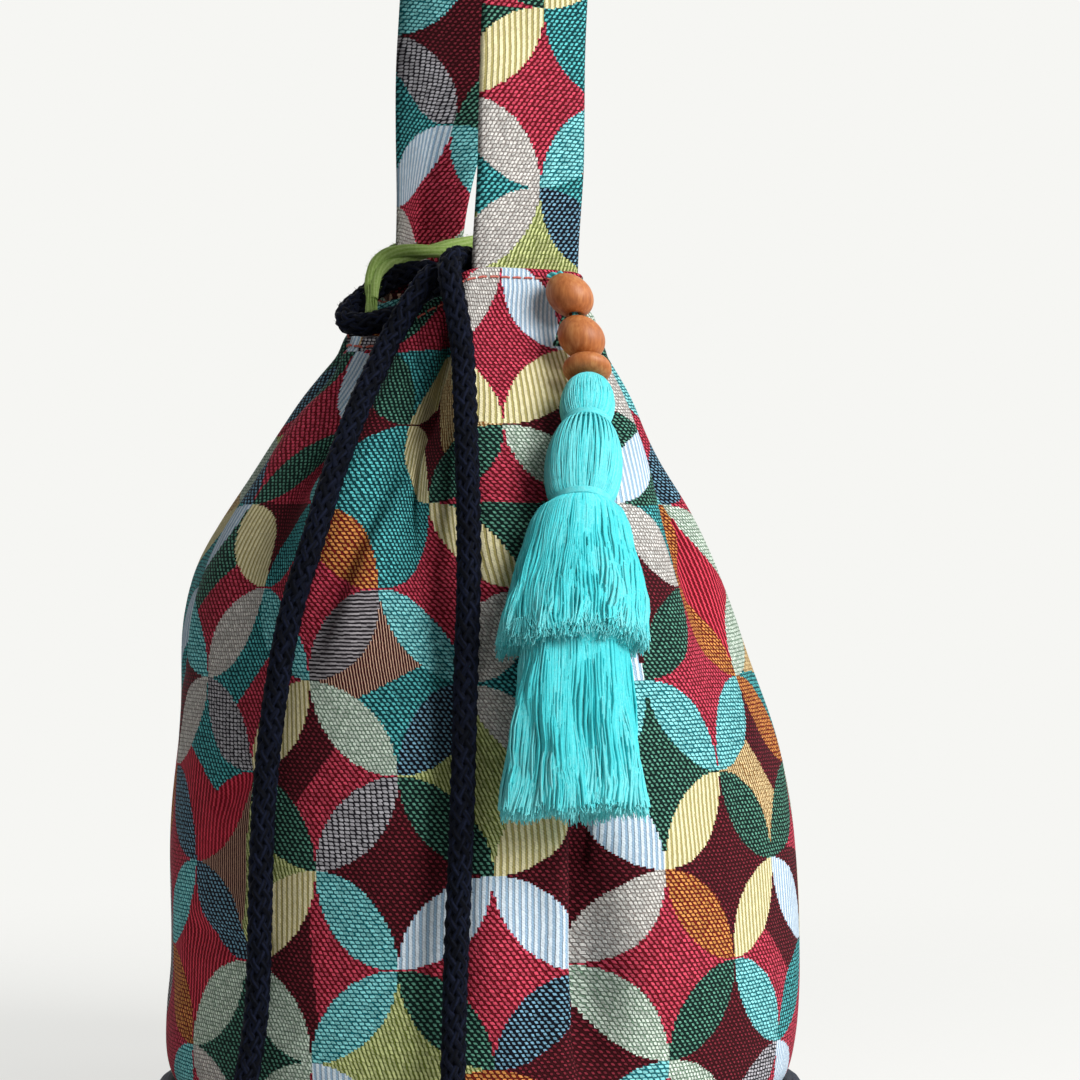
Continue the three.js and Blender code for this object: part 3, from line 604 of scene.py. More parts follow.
tint = addNode(tree, "ShaderNodeMath", {0: rays.outputs["Fac"], 1: .5, 2: grain.outputs["Fac"]},
               operation="MULTIPLY_ADD")
tint = addNode(tree, "ShaderNodeMapRange", {0: tint, 1: .5, 2: 1.0})
ramp = addNode(tree, "ShaderNodeValToRGB", {0: tint})
ramp.color_ramp.elements[0].color = linearColor(beechWood["dark"])
ramp.color_ramp.elements[1].color = linearColor(beechWood["light"])
ramp.color_ramp.elements.new(.45).color = linearColor(beechWood["middle"])
rough = addNode(tree, "ShaderNodeMapRange",
                {0: grain.outputs["Fac"], 3: beechWood["roughness"][0], 4: beechWood["roughness"][1]})
bump = addNode(tree, "ShaderNodeBump",
               {"Strength": .15, "Distance": beechWood["relief"], "Height": grain.outputs["Fac"]})
surface = addNode(tree, "ShaderNodeBsdfPrincipled", {
    "Base Color": ramp, "Normal": bump, "Roughness": rough, "IOR": 1.5,
    "Coat Weight": beechWood["coat"], "Coat Roughness": beechWood["coatRoughness"]})
addNode(tree, "ShaderNodeOutputMaterial", {"Surface": surface})
print("materials made")


# node trees for what repeats or follows a path

# strands laid round a path: braided over and under each other, or twisted as plies
layTree, given = newTree("laidStrands", [
    ("Strands", "Int"), ("Turn", "Float"), ("Lay", "Float"), ("Over", "Float"), ("Braided", "Float"),
    ("Strand radius", "Float"), ("Core radius", "Float"), ("Sides", "Int"), ("Material", "Material")])
path = addNode(layTree, "GeometryNodeMeshToCurve", {0: given["Geometry"]})
copies = addNode(layTree, "GeometryNodeDuplicateElements", {"Geometry": path, "Amount": given["Strands"]},
                 domain="SPLINE")
index = copies.outputs["Duplicate Index"]
travel = addNode(layTree, "GeometryNodeSplineParameter").outputs["Length"]
odd = addNode(layTree, "ShaderNodeMath", {0: index, 1: 2.0}, operation="MODULO")
odd = addNode(layTree, "ShaderNodeMath", {0: odd, 1: given["Braided"]}, operation="MULTIPLY")
hand = addNode(layTree, "ShaderNodeMath", {0: odd, 1: -2.0, 2: 1.0}, operation="MULTIPLY_ADD")
spin = addNode(layTree, "ShaderNodeMath", {0: travel, 1: given["Turn"]}, operation="DIVIDE")
spin = addNode(layTree, "ShaderNodeMath", {0: spin, 1: 2 * math.pi}, operation="MULTIPLY")
start = addNode(layTree, "ShaderNodeMath", {0: index, 1: given["Strands"]}, operation="DIVIDE")
start = addNode(layTree, "ShaderNodeMath", {0: start, 1: 2 * math.pi}, operation="MULTIPLY")
angle = addNode(layTree, "ShaderNodeMath", {0: spin, 1: hand, 2: start}, operation="MULTIPLY_ADD")
pairs = addNode(layTree, "ShaderNodeMath", {0: given["Strands"], 1: .5}, operation="MULTIPLY")
cross = addNode(layTree, "ShaderNodeMath", {0: spin, 1: pairs}, operation="MULTIPLY")
cross = addNode(layTree, "ShaderNodeMath", {0: cross}, operation="SINE")
cross = addNode(layTree, "ShaderNodeMath", {0: cross, 1: hand}, operation="MULTIPLY")
reach = addNode(layTree, "ShaderNodeMath", {0: cross, 1: given["Over"], 2: given["Lay"]},
                operation="MULTIPLY_ADD")
normal = addNode(layTree, "GeometryNodeInputNormal")
tangent = addNode(layTree, "GeometryNodeInputTangent")
sideways = addNode(layTree, "ShaderNodeVectorMath", {0: tangent, 1: normal}, operation="CROSS_PRODUCT")
cosine = addNode(layTree, "ShaderNodeMath", {0: angle}, operation="COSINE")
sine = addNode(layTree, "ShaderNodeMath", {0: angle}, operation="SINE")
outward = addNode(layTree, "ShaderNodeVectorMath", {0: normal, "Scale": cosine}, operation="SCALE")
across = addNode(layTree, "ShaderNodeVectorMath", {0: sideways, "Scale": sine}, operation="SCALE")
outward = addNode(layTree, "ShaderNodeVectorMath", {0: outward, 1: across}, operation="ADD")
outward = addNode(layTree, "ShaderNodeVectorMath", {0: outward, "Scale": reach}, operation="SCALE")
kept = addNode(layTree, "GeometryNodeStoreNamedAttribute",
               {"Geometry": copies, "Name": "along", "Value": travel})
toneOf = addNode(layTree, "FunctionNodeRandomValue", {"ID": index, "Seed": 3}, data_type="FLOAT")
kept = addNode(layTree, "GeometryNodeStoreNamedAttribute",
               {"Geometry": kept, "Name": "tone", "Value": toneOf.outputs[1]})
laid = addNode(layTree, "GeometryNodeSetPosition", {"Geometry": kept, "Offset": outward})
section = addNode(layTree, "GeometryNodeCurvePrimitiveCircle",
                  {"Resolution": given["Sides"], "Radius": given["Strand radius"]})
aroundOf = addNode(layTree, "GeometryNodeSplineParameter").outputs["Factor"]
section = addNode(layTree, "GeometryNodeStoreNamedAttribute",
                  {"Geometry": section, "Name": "around", "Value": aroundOf})
tubes = addNode(layTree, "GeometryNodeCurveToMesh",
                {"Curve": laid, "Profile Curve": section, "Fill Caps": True})
coreRound = addNode(layTree, "GeometryNodeCurvePrimitiveCircle",
                    {"Resolution": 12, "Radius": given["Core radius"]})
core = addNode(layTree, "GeometryNodeCurveToMesh",
               {"Curve": path, "Profile Curve": coreRound, "Fill Caps": True})
whole = addNode(layTree, "GeometryNodeJoinGeometry", {0: tubes})
layTree.links.new(core.outputs[0], whole.inputs[0])
endTree(layTree, whole, given["Material"])

# loose fibres standing on a piece, which keeps its own skin under them
# a hair's three points in parts of its length, how far it leans in radians, its shortest and longest
hairLay = {"points": ((0, 0, -.1), (.1, 0, .5), (.75, .1, .8)), "lean": .9, "lengths": (.45, 1.2)}
fuzzTree, given = newTree("looseFibres", [
    ("Density", "Float"), ("Length", "Float"), ("Thickness", "Float"), ("Seed", "Int"),
    ("Material", "Material")])
spots = addNode(fuzzTree, "GeometryNodeDistributePointsOnFaces",
                {"Mesh": given["Geometry"], "Density": given["Density"], "Seed": given["Seed"]})
start, middle, end = hairLay["points"]
hair = addNode(fuzzTree, "GeometryNodeCurveQuadraticBezier",
               {"Resolution": 2, "Start": start, "Middle": middle, "End": end})
section = addNode(fuzzTree, "GeometryNodeCurvePrimitiveCircle",
                  {"Resolution": 3, "Radius": given["Thickness"]})
hair = addNode(fuzzTree, "GeometryNodeTransform", {"Geometry": hair, "Scale": (.001, .001, .001)})
hair = addNode(fuzzTree, "GeometryNodeCurveToMesh",
               {"Curve": hair, "Profile Curve": section, "Fill Caps": True})
most = hairLay["lean"]
lean = addNode(fuzzTree, "FunctionNodeRandomValue",
               {0: (-most, -most, 0), 1: (most, most, 6.28), "Seed": given["Seed"]},
               data_type="FLOAT_VECTOR")
lean = addNode(fuzzTree, "FunctionNodeEulerToRotation", {0: lean})
stand = addNode(fuzzTree, "FunctionNodeRotateRotation", {0: spots.outputs["Rotation"], 1: lean},
                rotation_space="LOCAL")
shortest, longest = hairLay["lengths"]
grade = addNode(fuzzTree, "FunctionNodeRandomValue", {2: shortest, 3: longest, "Seed": given["Seed"]},
                data_type="FLOAT")
grade = addNode(fuzzTree, "ShaderNodeMath", {0: grade.outputs[1], 1: given["Length"]}, operation="MULTIPLY")
grade = addNode(fuzzTree, "ShaderNodeMath", {0: grade, 1: 1000.0}, operation="MULTIPLY")
hairs = addNode(fuzzTree, "GeometryNodeInstanceOnPoints",
                {"Points": spots.outputs["Points"], "Instance": hair, "Rotation": stand, "Scale": grade})
both = addNode(fuzzTree, "GeometryNodeJoinGeometry", {0: hairs})
fuzzTree.links.new(given["Geometry"], both.inputs[0])
endTree(fuzzTree, both, given["Material"])

# a bundle of yarn along a path: strands fan out from a root to a hem, or swell between two bindings
# times round for all the strands, waves in a metre, how they stretch along a strand,
# how far each strand waves by itself in m, and where the painted light at its end starts
bundleLay = {"rounds": 13, "waves": 110.0, "stretch": (1, 1, .35), "own": .007, "paintedLightFrom": .8}
bundleTree, given = newTree("yarnBundle", [
    ("Strands", "Int"), ("Start", "Float"), ("Length", "Float"), ("Uneven", "Float"), ("Root", "Vector"),
    ("Hem", "Vector"), ("Swell", "Float"), ("Roundness", "Float"), ("Flare", "Float"), ("Core", "Float"),
    ("Wave", "Float"), ("Stray", "Float"), ("Across", "Vector"), ("Yarn radius", "Float"),
    ("Sides", "Int"), ("Points", "Int"), ("Lighter", "Float"), ("Painted light at end", "Float"), ("Seed", "Int"),
    ("Material", "Material")])
axis = addNode(bundleTree, "GeometryNodeMeshToCurve", {0: given["Geometry"]})
single = addNode(bundleTree, "GeometryNodeCurvePrimitiveLine", {"Start": (0, 0, 0), "End": (0, 0, 1)})
single = addNode(bundleTree, "GeometryNodeResampleCurve", {"Curve": single, "Count": given["Points"]})
copies = addNode(bundleTree, "GeometryNodeDuplicateElements",
                 {"Geometry": single, "Amount": given["Strands"]}, domain="SPLINE")
index = copies.outputs["Duplicate Index"]
part = addNode(bundleTree, "GeometryNodeSplineParameter").outputs["Factor"]
draws = []
for k, (low, high) in enumerate([(0.0, 1.0), (0.0, 1.0), (-1.0, 1.0), (0.0, 1.0), (-1.0, 1.0)]):
    seed = addNode(bundleTree, "ShaderNodeMath", {0: given["Seed"], 1: 11.0 * k}, operation="ADD")
    draw = addNode(bundleTree, "FunctionNodeRandomValue", {2: low, 3: high, "ID": index, "Seed": seed},
                   data_type="FLOAT")
    draws.append(draw.outputs[1])
stray = addNode(bundleTree, "ShaderNodeMath", {0: draws[4], 1: given["Stray"]}, operation="MULTIPLY")
stray = addNode(bundleTree, "ShaderNodeMath", {0: stray, 1: part}, operation="MULTIPLY")
spread = addNode(bundleTree, "ShaderNodeMath", {0: index, 1: given["Strands"]}, operation="DIVIDE")
around = addNode(bundleTree, "ShaderNodeMath", {0: spread, 1: 2 * math.pi * bundleLay["rounds"], 2: stray},
                 operation="MULTIPLY_ADD")
layer = addNode(bundleTree, "ShaderNodeMath", {0: draws[1]}, operation="SQRT")
layer = addNode(bundleTree, "ShaderNodeMapRange", {0: layer, 3: given["Core"], 4: 1.0})
length = addNode(bundleTree, "ShaderNodeMath", {0: draws[2], 1: given["Uneven"], 2: 1.0},
                 operation="MULTIPLY_ADD")
length = addNode(bundleTree, "ShaderNodeMath", {0: length, 1: given["Length"]}, operation="MULTIPLY")
travel = addNode(bundleTree, "ShaderNodeMath", {0: length, 1: part, 2: given["Start"]},
                 operation="MULTIPLY_ADD")
where = addNode(bundleTree, "GeometryNodeSampleCurve", {"Curves": axis, "Length": travel}, mode="LENGTH",
                use_all_curves=True)
outward = addNode(bundleTree, "ShaderNodeVectorMath", {0: where.outputs["Tangent"], 1: given["Across"]},
                  operation="CROSS_PRODUCT")
outward = addNode(bundleTree, "ShaderNodeVectorMath", {0: outward}, operation="NORMALIZE")
flare = addNode(bundleTree, "ShaderNodeMath", {0: part, 1: given["Flare"]}, operation="POWER")
half = addNode(bundleTree, "ShaderNodeMix", {0: flare, 4: given["Root"], 5: given["Hem"]},
               data_type="VECTOR")
swell = addNode(bundleTree, "ShaderNodeMath", {0: part, 1: math.pi}, operation="MULTIPLY")
swell = addNode(bundleTree, "ShaderNodeMath", {0: swell}, operation="SINE")
swell = addNode(bundleTree, "ShaderNodeMath", {0: swell, 1: 0.0}, operation="MAXIMUM")
swell = addNode(bundleTree, "ShaderNodeMath", {0: swell, 1: given["Roundness"]}, operation="POWER")
swell = addNode(bundleTree, "ShaderNodeMath", {0: swell, 1: given["Swell"]}, operation="MULTIPLY")
half = addNode(bundleTree, "ShaderNodeVectorMath", {0: half.outputs[1], 1: swell}, operation="ADD")
half = addNode(bundleTree, "ShaderNodeVectorMath", {0: half, "Scale": layer}, operation="SCALE")
half = addNode(bundleTree, "ShaderNodeSeparateXYZ", {0: half})
cosine = addNode(bundleTree, "ShaderNodeMath", {0: around}, operation="COSINE")
cosine = addNode(bundleTree, "ShaderNodeMath", {0: cosine, 1: half}, operation="MULTIPLY")
sine = addNode(bundleTree, "ShaderNodeMath", {0: around}, operation="SINE")
sine = addNode(bundleTree, "ShaderNodeMath", {0: sine, 1: half.outputs[1]}, operation="MULTIPLY")
offset = addNode(bundleTree, "ShaderNodeVectorMath", {0: given["Across"], "Scale": cosine},
                 operation="SCALE")
depth = addNode(bundleTree, "ShaderNodeVectorMath", {0: outward, "Scale": sine}, operation="SCALE")
offset = addNode(bundleTree, "ShaderNodeVectorMath", {0: offset, 1: depth}, operation="ADD")
spot = addNode(bundleTree, "ShaderNodeVectorMath", {0: where.outputs["Position"], 1: offset},
               operation="ADD")
# neighbours wave together, and each strand a little by itself
own = addNode(bundleTree, "ShaderNodeMath", {0: draws[3], 1: bundleLay["own"]}, operation="MULTIPLY")
drawnOut = addNode(bundleTree, "ShaderNodeVectorMath", {0: spot, 1: bundleLay["stretch"]},
                   operation="MULTIPLY")
wave = addNode(bundleTree, "ShaderNodeTexNoise",
               {"Vector": drawnOut, "W": own, "Scale": bundleLay["waves"], "Detail": 1.5},
               noise_dimensions="4D")
wave = addNode(bundleTree, "ShaderNodeVectorMath", {0: wave.outputs["Color"], 1: (.5, .5, .5)},
               operation="SUBTRACT")
grade = addNode(bundleTree, "ShaderNodeMath", {0: given["Wave"], 1: part}, operation="MULTIPLY")
wave = addNode(bundleTree, "ShaderNodeVectorMath", {0: wave, "Scale": grade}, operation="SCALE")
spot = addNode(bundleTree, "ShaderNodeVectorMath", {0: spot, 1: wave}, operation="ADD")
kept = addNode(bundleTree, "GeometryNodeStoreNamedAttribute",
               {"Geometry": copies, "Name": "along", "Value": travel})
toneOf = addNode(bundleTree, "ShaderNodeMath", {0: draws[3], 1: given["Lighter"]}, operation="ADD")
# strands are painted lighter towards their ends, which lifts the shade among them: painted light
endPaintedLight = addNode(bundleTree, "ShaderNodeMapRange",
                {0: part, 1: bundleLay["paintedLightFrom"], 2: 1.0, 3: 0.0, 4: given["Painted light at end"]})
toneOf = addNode(bundleTree, "ShaderNodeMath", {0: toneOf, 1: endPaintedLight}, operation="ADD")
kept = addNode(bundleTree, "GeometryNodeStoreNamedAttribute",
               {"Geometry": kept, "Name": "tone", "Value": toneOf})
laid = addNode(bundleTree, "GeometryNodeSetPosition", {"Geometry": kept, "Position": spot})
section = addNode(bundleTree, "GeometryNodeCurvePrimitiveCircle",
                  {"Resolution": given["Sides"], "Radius": given["Yarn radius"]})
aroundOf = addNode(bundleTree, "GeometryNodeSplineParameter").outputs["Factor"]
section = addNode(bundleTree, "GeometryNodeStoreNamedAttribute",
                  {"Geometry": section, "Name": "around", "Value": aroundOf})
tubes = addNode(bundleTree, "GeometryNodeCurveToMesh",
                {"Curve": laid, "Profile Curve": section, "Fill Caps": True})
endTree(bundleTree, tubes, given["Material"])

# a row of stitches along a path: short lengths of thread, each sunk a little at its ends
stitchTree, given = newTree("stitchRow", [
    ("Spacing", "Float"), ("Stitch", "Float"), ("Thickness", "Float"), ("Material", "Material")])
path = addNode(stitchTree, "GeometryNodeMeshToCurve", {0: given["Geometry"]})
points = addNode(stitchTree, "GeometryNodeCurveToPoints", {"Curve": path, "Length": given["Spacing"]},
                 mode="LENGTH")
halfStitch = addNode(stitchTree, "ShaderNodeMath", {0: given["Stitch"], 1: .5}, operation="MULTIPLY")
back = addNode(stitchTree, "ShaderNodeMath", {0: given["Stitch"], 1: -.5}, operation="MULTIPLY")
ends = [addNode(stitchTree, "ShaderNodeCombineXYZ", {0: x, 1: 0.0, 2: 0.0}) for x in (back, halfStitch)]
arch = addNode(stitchTree, "ShaderNodeCombineXYZ", {0: 0.0, 1: 0.0, 2: given["Thickness"]})
single = addNode(stitchTree, "GeometryNodeCurveQuadraticBezier",
                 {"Resolution": 6, "Start": ends[0], "Middle": arch, "End": ends[1]})
section = addNode(stitchTree, "GeometryNodeCurvePrimitiveCircle",
                  {"Resolution": 8, "Radius": given["Thickness"]})
single = addNode(stitchTree, "GeometryNodeCurveToMesh",
                 {"Curve": single, "Profile Curve": section, "Fill Caps": True})
way = addNode(stitchTree, "FunctionNodeAlignRotationToVector", {"Vector": points.outputs["Tangent"]},
              axis="X")
row = addNode(stitchTree, "GeometryNodeInstanceOnPoints",
              {"Points": points, "Instance": single, "Rotation": way})
endTree(stitchTree, row, given["Material"])
print("node trees made")


# drawstring: one braided cord round the mouth, with its two ends hanging to a knot each

cordLay = {"diameter": .008, "strands": 12, "turn": .033, "lay": .0028, "over": .00030,
           "strandRadius": .00114, "core": .0029,
           "fibres": 50000.0, "fibreLength": .0012, "fibreRadius": .00004}
ringRoute = [
    (-.0205, -.0126, .2772), (-.0204, -.0082, .2748), (-.025, -.0012, .2713), (-.0325, .0055, .2686),
    (-.039, .011, .267), (-.0425, .0165, .268), (-.04, .022, .2718), (-.034, .025, .276),
    (-.027, .0263, .281), (-.0195, .0265, .2852), (-.01, .025, .287), (.001, .0245, .286),
    (.0115, .0215, .285), (.0185, .013, .2775), (.0215, .005, .271), (.0223, -.004, .2678),
    (.0185, -.0105, .2693), (.013, -.0154, .2728), (.0093, -.0199, .2762), (.0031, -.0216, .279),
]
leftTailRoute = [
    (-.0205, -.013, .2775), (-.0208, -.018, .2805), (-.025, -.022, .2823), (-.0312, -.0255, .2808),
    (-.037, -.0274, .2745), (-.0416, -.0272, .2675), (-.046, -.0265, .26), (-.0518, -.0287, .2505),
    (-.059, -.032, .239), (-.0724, -.041, .216), (-.083, -.0474, .193), (-.0906, -.0474, .17),
    (-.0952, -.0462, .145), (-.0988, -.0466, .119), (-.1011, -.0481, .094), (-.1024, -.0496, .068),
    (-.1033, -.0492, .043), (-.1055, -.0493, .028), (-.108, -.0503, .019),
]
rightTailRoute = [
    (.0027, -.0217, .2792), (-.003, -.0233, .2818), (-.0095, -.0245, .2848), (-.017, -.0265, .2874),
    (-.0249, -.0307, .287), (-.0292, -.0368, .2815), (-.03, -.0418, .273), (-.0302, -.0457, .265),
    (-.0314, -.0513, .255), (-.0363, -.0637, .232), (-.0411, -.0755, .206), (-.0452, -.0845, .18),
    (-.0485, -.0895, .155), (-.0513, -.0937, .13), (-.0536, -.0968, .105), (-.0555, -.0984, .08),
    (-.057, -.0992, .055), (-.0584, -.1008, .033), (-.0603, -.1042, .019),
]
tieRoute = [
    (-.0115, .0452, .2965), (-.007, .0504, .297), (0, .054, .2973), (.007, .0504, .2975),
    (.0128, .044, .2976), (.0183, .036, .2976), (.0176, .0306, .2973), (.011, .0286, .2966),
    (0, .0282, .2952), (-.01, .0285, .2938), (-.018, .0288, .2924), (-.024, .027, .2902),
    (-.029, .0232, .2864), (-.032, .0194, .2812), (-.0332, .0164, .2756),
]


def layCord(name, path, lay, material, braided=1.0, seed=1, sides=6):
    bare = grow(name + "Bare", layTree, guideMesh(name, path), {
        "Strands": lay["strands"], "Turn": lay["turn"], "Lay": lay["lay"], "Over": lay["over"],
        "Braided": braided, "Strand radius": lay["strandRadius"], "Core radius": lay["core"],
        "Sides": sides, "Material": material})
    fuzzy = grow(name, fuzzTree, bare.data, {
        "Density": lay["fibres"], "Length": lay["fibreLength"], "Thickness": lay["fibreRadius"],
        "Seed": seed, "Material": material})
    bpy.data.objects.remove(bare)
    return fuzzy


knotTurn = {"beyond": .0085, "out": .0005, "size": .00172, "depth": 1.35, "from": .35, "past": .15}


def knotPath(end, before):
    # an overhand knot: a three-lobed turn of the cord, flat against the bag
    out = unit(np.array([end[0], end[1], 0]))
    along = unit(np.array(end) - np.array(before))
    aside = unit(np.cross(out, along))
    middle = np.array(end) + along * knotTurn["beyond"] + out * knotTurn["out"]
    t = np.linspace(knotTurn["from"], 2 * math.pi + knotTurn["past"], 110)
    a, b = np.sin(t) + 2 * np.sin(2 * t), np.cos(t) - 2 * np.cos(2 * t)
    c = -knotTurn["depth"] * np.sin(3 * t)
    return middle + knotTurn["size"] * (a[:, None] * aside + b[:, None] * along + c[:, None] * out)


knotLay = dict(cordLay, turn=.019, lay=.0022, over=.0003, strandRadius=.0009, core=.0021)
ringPath = evenly(catmullRom(ringRoute, 500), .001)
ring = layCord("drawstring", ringPath, cordLay, yarn["navy"], seed=1)
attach(ring, "bag")
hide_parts("drawstring")
for side, route, seed in (("left", leftTailRoute, 2), ("right", rightTailRoute, 3)):
    tailPath = evenly(catmullRom(route, 500), .001)
    tail = layCord(side + "Tail", tailPath, cordLay, yarn["navy"], seed=seed)
    knot = layCord(side + "Knot", evenly(knotPath(route[-1], route[-2]), .0009), knotLay, yarn["navy"],
                   seed=seed + 3)
    for piece, node in ((tail, "cord_tail_" + side), (knot, "knot_" + side)):
        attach(piece, "bag")
        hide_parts(node)

tieLay = {"strands": 2, "turn": .07, "lay": .0017, "over": 0.0, "strandRadius": .0023, "core": .0012,
          "fibres": 480000.0, "fibreLength": .0012, "fibreRadius": .000024,
          "step": .0011, "thinner": .4, "thinReach": .026, "uneven": .16, "swells": .13}
tieFray = {"strands": 130, "back": .006, "beyond": .012, "length": .011, "root": .0018, "hem": .0013}
tiePath = evenly(catmullRom(tieRoute, 400), tieLay["step"])
tie = layCord("greenTie", tiePath, tieLay, yarn["green"], braided=0.0, seed=9, sides=14)
# the yarn is uneven, and thins out to its cut ends
spots = np.empty(3 * len(tie.data.vertices))
tie.data.vertices.foreach_get("co", spots)
spots = spots.reshape(-1, 3)
nearest = np.array([np.argmin(((tiePath - q) ** 2).sum(1)) for q in spots])
fromEnd = tieLay["step"] * np.minimum(nearest, len(tiePath) - 1 - nearest)
swells = np.array([noise.noise(Vector((tieLay["swells"] * k, 2.0, 0))) for k in range(len(tiePath))])
slim = 1 - tieLay["thinner"] * (1 - smoothstep(fromEnd, 0, tieLay["thinReach"]))
slim = slim * (1 + tieLay["uneven"] * swells[nearest])
tie.data.vertices.foreach_set("co", (tiePath[nearest] + (spots - tiePath[nearest]) * slim[:, None]).ravel())
tie.data.update()
tuftWay = unit(tiePath[-1] - tiePath[-4])
tuftPath = tiePath[-1] + tuftWay * np.linspace(-tieFray["back"], tieFray["beyond"], 24)[:, None]
tuft = grow("tieTuft", bundleTree, guideMesh("tieTuft", tuftPath), {
    "Strands": tieFray["strands"], "Start": 0.0, "Length": tieFray["length"], "Uneven": .22,
    "Root": (tieFray["root"], tieFray["root"], 0), "Hem": (tieFray["hem"], tieFray["hem"], 0), "Swell": 0.0,
    "Roundness": 1.0, "Flare": 1.0, "Core": .2, "Wave": .006, "Stray": .3,
    "Across": tuple(unit(np.cross(tuftWay, (0, 0, 1.0)))),
    "Yarn radius": .00022, "Sides": 4, "Points": 7, "Lighter": .1, "Painted light at end": .4, "Seed": 51,
    "Material": yarn["green"]})
for piece in (tie, tuft):
    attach(piece, "bag")
    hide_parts("green_tie")
print("cords made")


# body: a tube of tapestry, sewn to a round base and gathered into folds at the mouth

bag = {
    "seamRadius": .101, "seamHeight": .0043,
    "pipingRing": .107, "pipingHeight": .0046, "pipingRadius": .0042,
    "bellyRadius": .1085, "bellyHeight": .072, "shoulderRadius": .090, "shoulderHeight": .183,
    "neckRadius": .045, "neckHeight": .262, "mouthRadius": .040, "rimHeight": .283, "rimSag": .022,
    "sagFrom": math.radians(22), "sagTo": math.radians(78),
    "shoulderLean": .008, "leanHeight": .193, "leanSpread": .050, "leanAngle": math.radians(153),
    "foldDepth": .015, "foldEase": 1.3, "gatherStart": .092, "sideLobes": 3,
    "footAtRim": math.radians(40), "footAtBase": math.radians(28), "footFold": 9, "sideFold": 1.5,
    "dentDepth": .005, "dentAngle": math.radians(-96), "dentWidth": math.radians(8), "dentHeight": .100,
    "pinch": .005, "pinchAngle": math.radians(-52), "pinchWidth": math.radians(24),
    "pinchHeights": (.236, .28),
    "footTakeUp": 1.3, "sideTakeUp": 1.9, "cloth": .002,
    "columns": 300, "closerColumns": (-.371, -.193), "closerCount": 12, "seed": 5,
    "rows": 150, "footRows": 9, "footShare": .05,
    # the cloth's unevenness: waves in a metre, and how far they stand out, in m
    "broadWaves": 17, "broadDepth": .0022, "smallWaves": (62, 62, 24), "smallDepth": .0009, "settle": .0006,
    "looseHeights": (.012, .05), "looseBelowHem": (.93, .99),
    "gathers": (19, 27, 34, 45), "gatherDepth": .0005, "gatherHeights": (.17, .275),
    "seamDepth": .0016, "seamWidth": .0008, "seamColumns": (.0006, .0013),
    # beside a crease: the ridge's height in its depths, then its place and width in m to a mm of the crease
    "ridge": (.3, .0024, .0016), "creaseFade": (.25, .7), "creaseRadius": .1,
    # creases: from and to (degrees round, mm up), mm deep, mm wide on their left and right
    "creases": [
        ((-97, -12), (-99, 126), 14, 3.0, 11), ((-122, 4), (-119, 262), 4.5, 8, 6),
        ((-150, 148), (-134, 240), 4.0, 9, 3.2), ((-184, 66), (-150, 60), 1.8, 4, 6),
        ((-172, 104), (-158, 122), 1.6, 5, 5), ((-160, 14), (-148, 44), 1.8, 6, 4),
        ((-126, 150), (-121, 236), 2.6, 4, 8), ((-88, 168), (-80, 236), 2.2, 8, 4),
        ((-58, 150), (-50, 240), 3.0, 5, 9), ((-20, 120), (-14, 232), 3.0, 9, 4),
        ((18, 128), (26, 238), 3.2, 4, 9), ((58, 150), (62, 240), 2.8, 9, 4),
        ((96, 140), (92, 232), 2.6, 4, 9), ((128, 130), (134, 240), 3.4, 9, 4),
        ((164, 140), (170, 236), 3.0, 4, 8), ((70, 6), (73, 96), 3.2, 11, 4),
        ((-12, 8), (-8, 82), 2.6, 4, 10), ((150, 20), (146, 84), 2.4, 9, 4),
    ],
    # where what is in the bag pushes the cloth out: degrees round, mm up, mm out, degrees wide, mm high
    "bulges": [
        (153, 165, 3.0, 36, 26), (153, 238, 3.0, 26, 16), (153, 52, -3.6, 34, 32),
        (-27, 222, -2.8, 28, 20), (-27, 105, 2.0, 30, 36),
    ],
}
outline = catmullRom([
    (bag["seamRadius"], bag["seamHeight"]),
    (bag["pipingRing"] - .0003, bag["pipingHeight"] + 2.3 * bag["pipingRadius"]),
    (bag["bellyRadius"], bag["bellyHeight"]),
    (bag["shoulderRadius"], bag["shoulderHeight"]),
    (bag["neckRadius"], bag["neckHeight"]),
    (bag["mouthRadius"], bag["rimHeight"]),
], 301)
outlineTravel = travelAlong(outline)


def outlineRadius(z):
    return np.interp(z, outline[:, 1], outline[:, 0])


def rimAt(angle):
    fromFoot = math.pi / 2 - np.arcsin(np.abs(np.sin(angle)))
    return bag["rimHeight"] - bag["rimSag"] * smoothstep(fromFoot, bag["sagFrom"], bag["sagTo"])


def foldAt(z):
    return bag["foldDepth"] * smoothstep(z, bag["gatherStart"], bag["rimHeight"]) ** bag["foldEase"]


def dentAt(angle, z):
    below = smoothstep(z, bag["seamHeight"] + .006, .35 * bag["dentHeight"])
    above = 1 - smoothstep(z, .5 * bag["dentHeight"], bag["dentHeight"])
    off = turnFrom(angle, bag["dentAngle"])
    return bag["dentDepth"] * below * above * np.exp(-(off / bag["dentWidth"]) ** 2)


def pinchAt(angle, z):
    # the hem's corner behind the beads is drawn in
    off = turnFrom(angle, bag["pinchAngle"])
    return bag["pinch"] * smoothstep(z, *bag["pinchHeights"]) * np.exp(-(off / bag["pinchWidth"]) ** 2)


def leanAt(z):
    reach = bag["shoulderLean"] * np.exp(-((z - bag["leanHeight"]) / bag["leanSpread"]) ** 2)
    return reach * math.cos(bag["leanAngle"]), reach * math.sin(bag["leanAngle"])


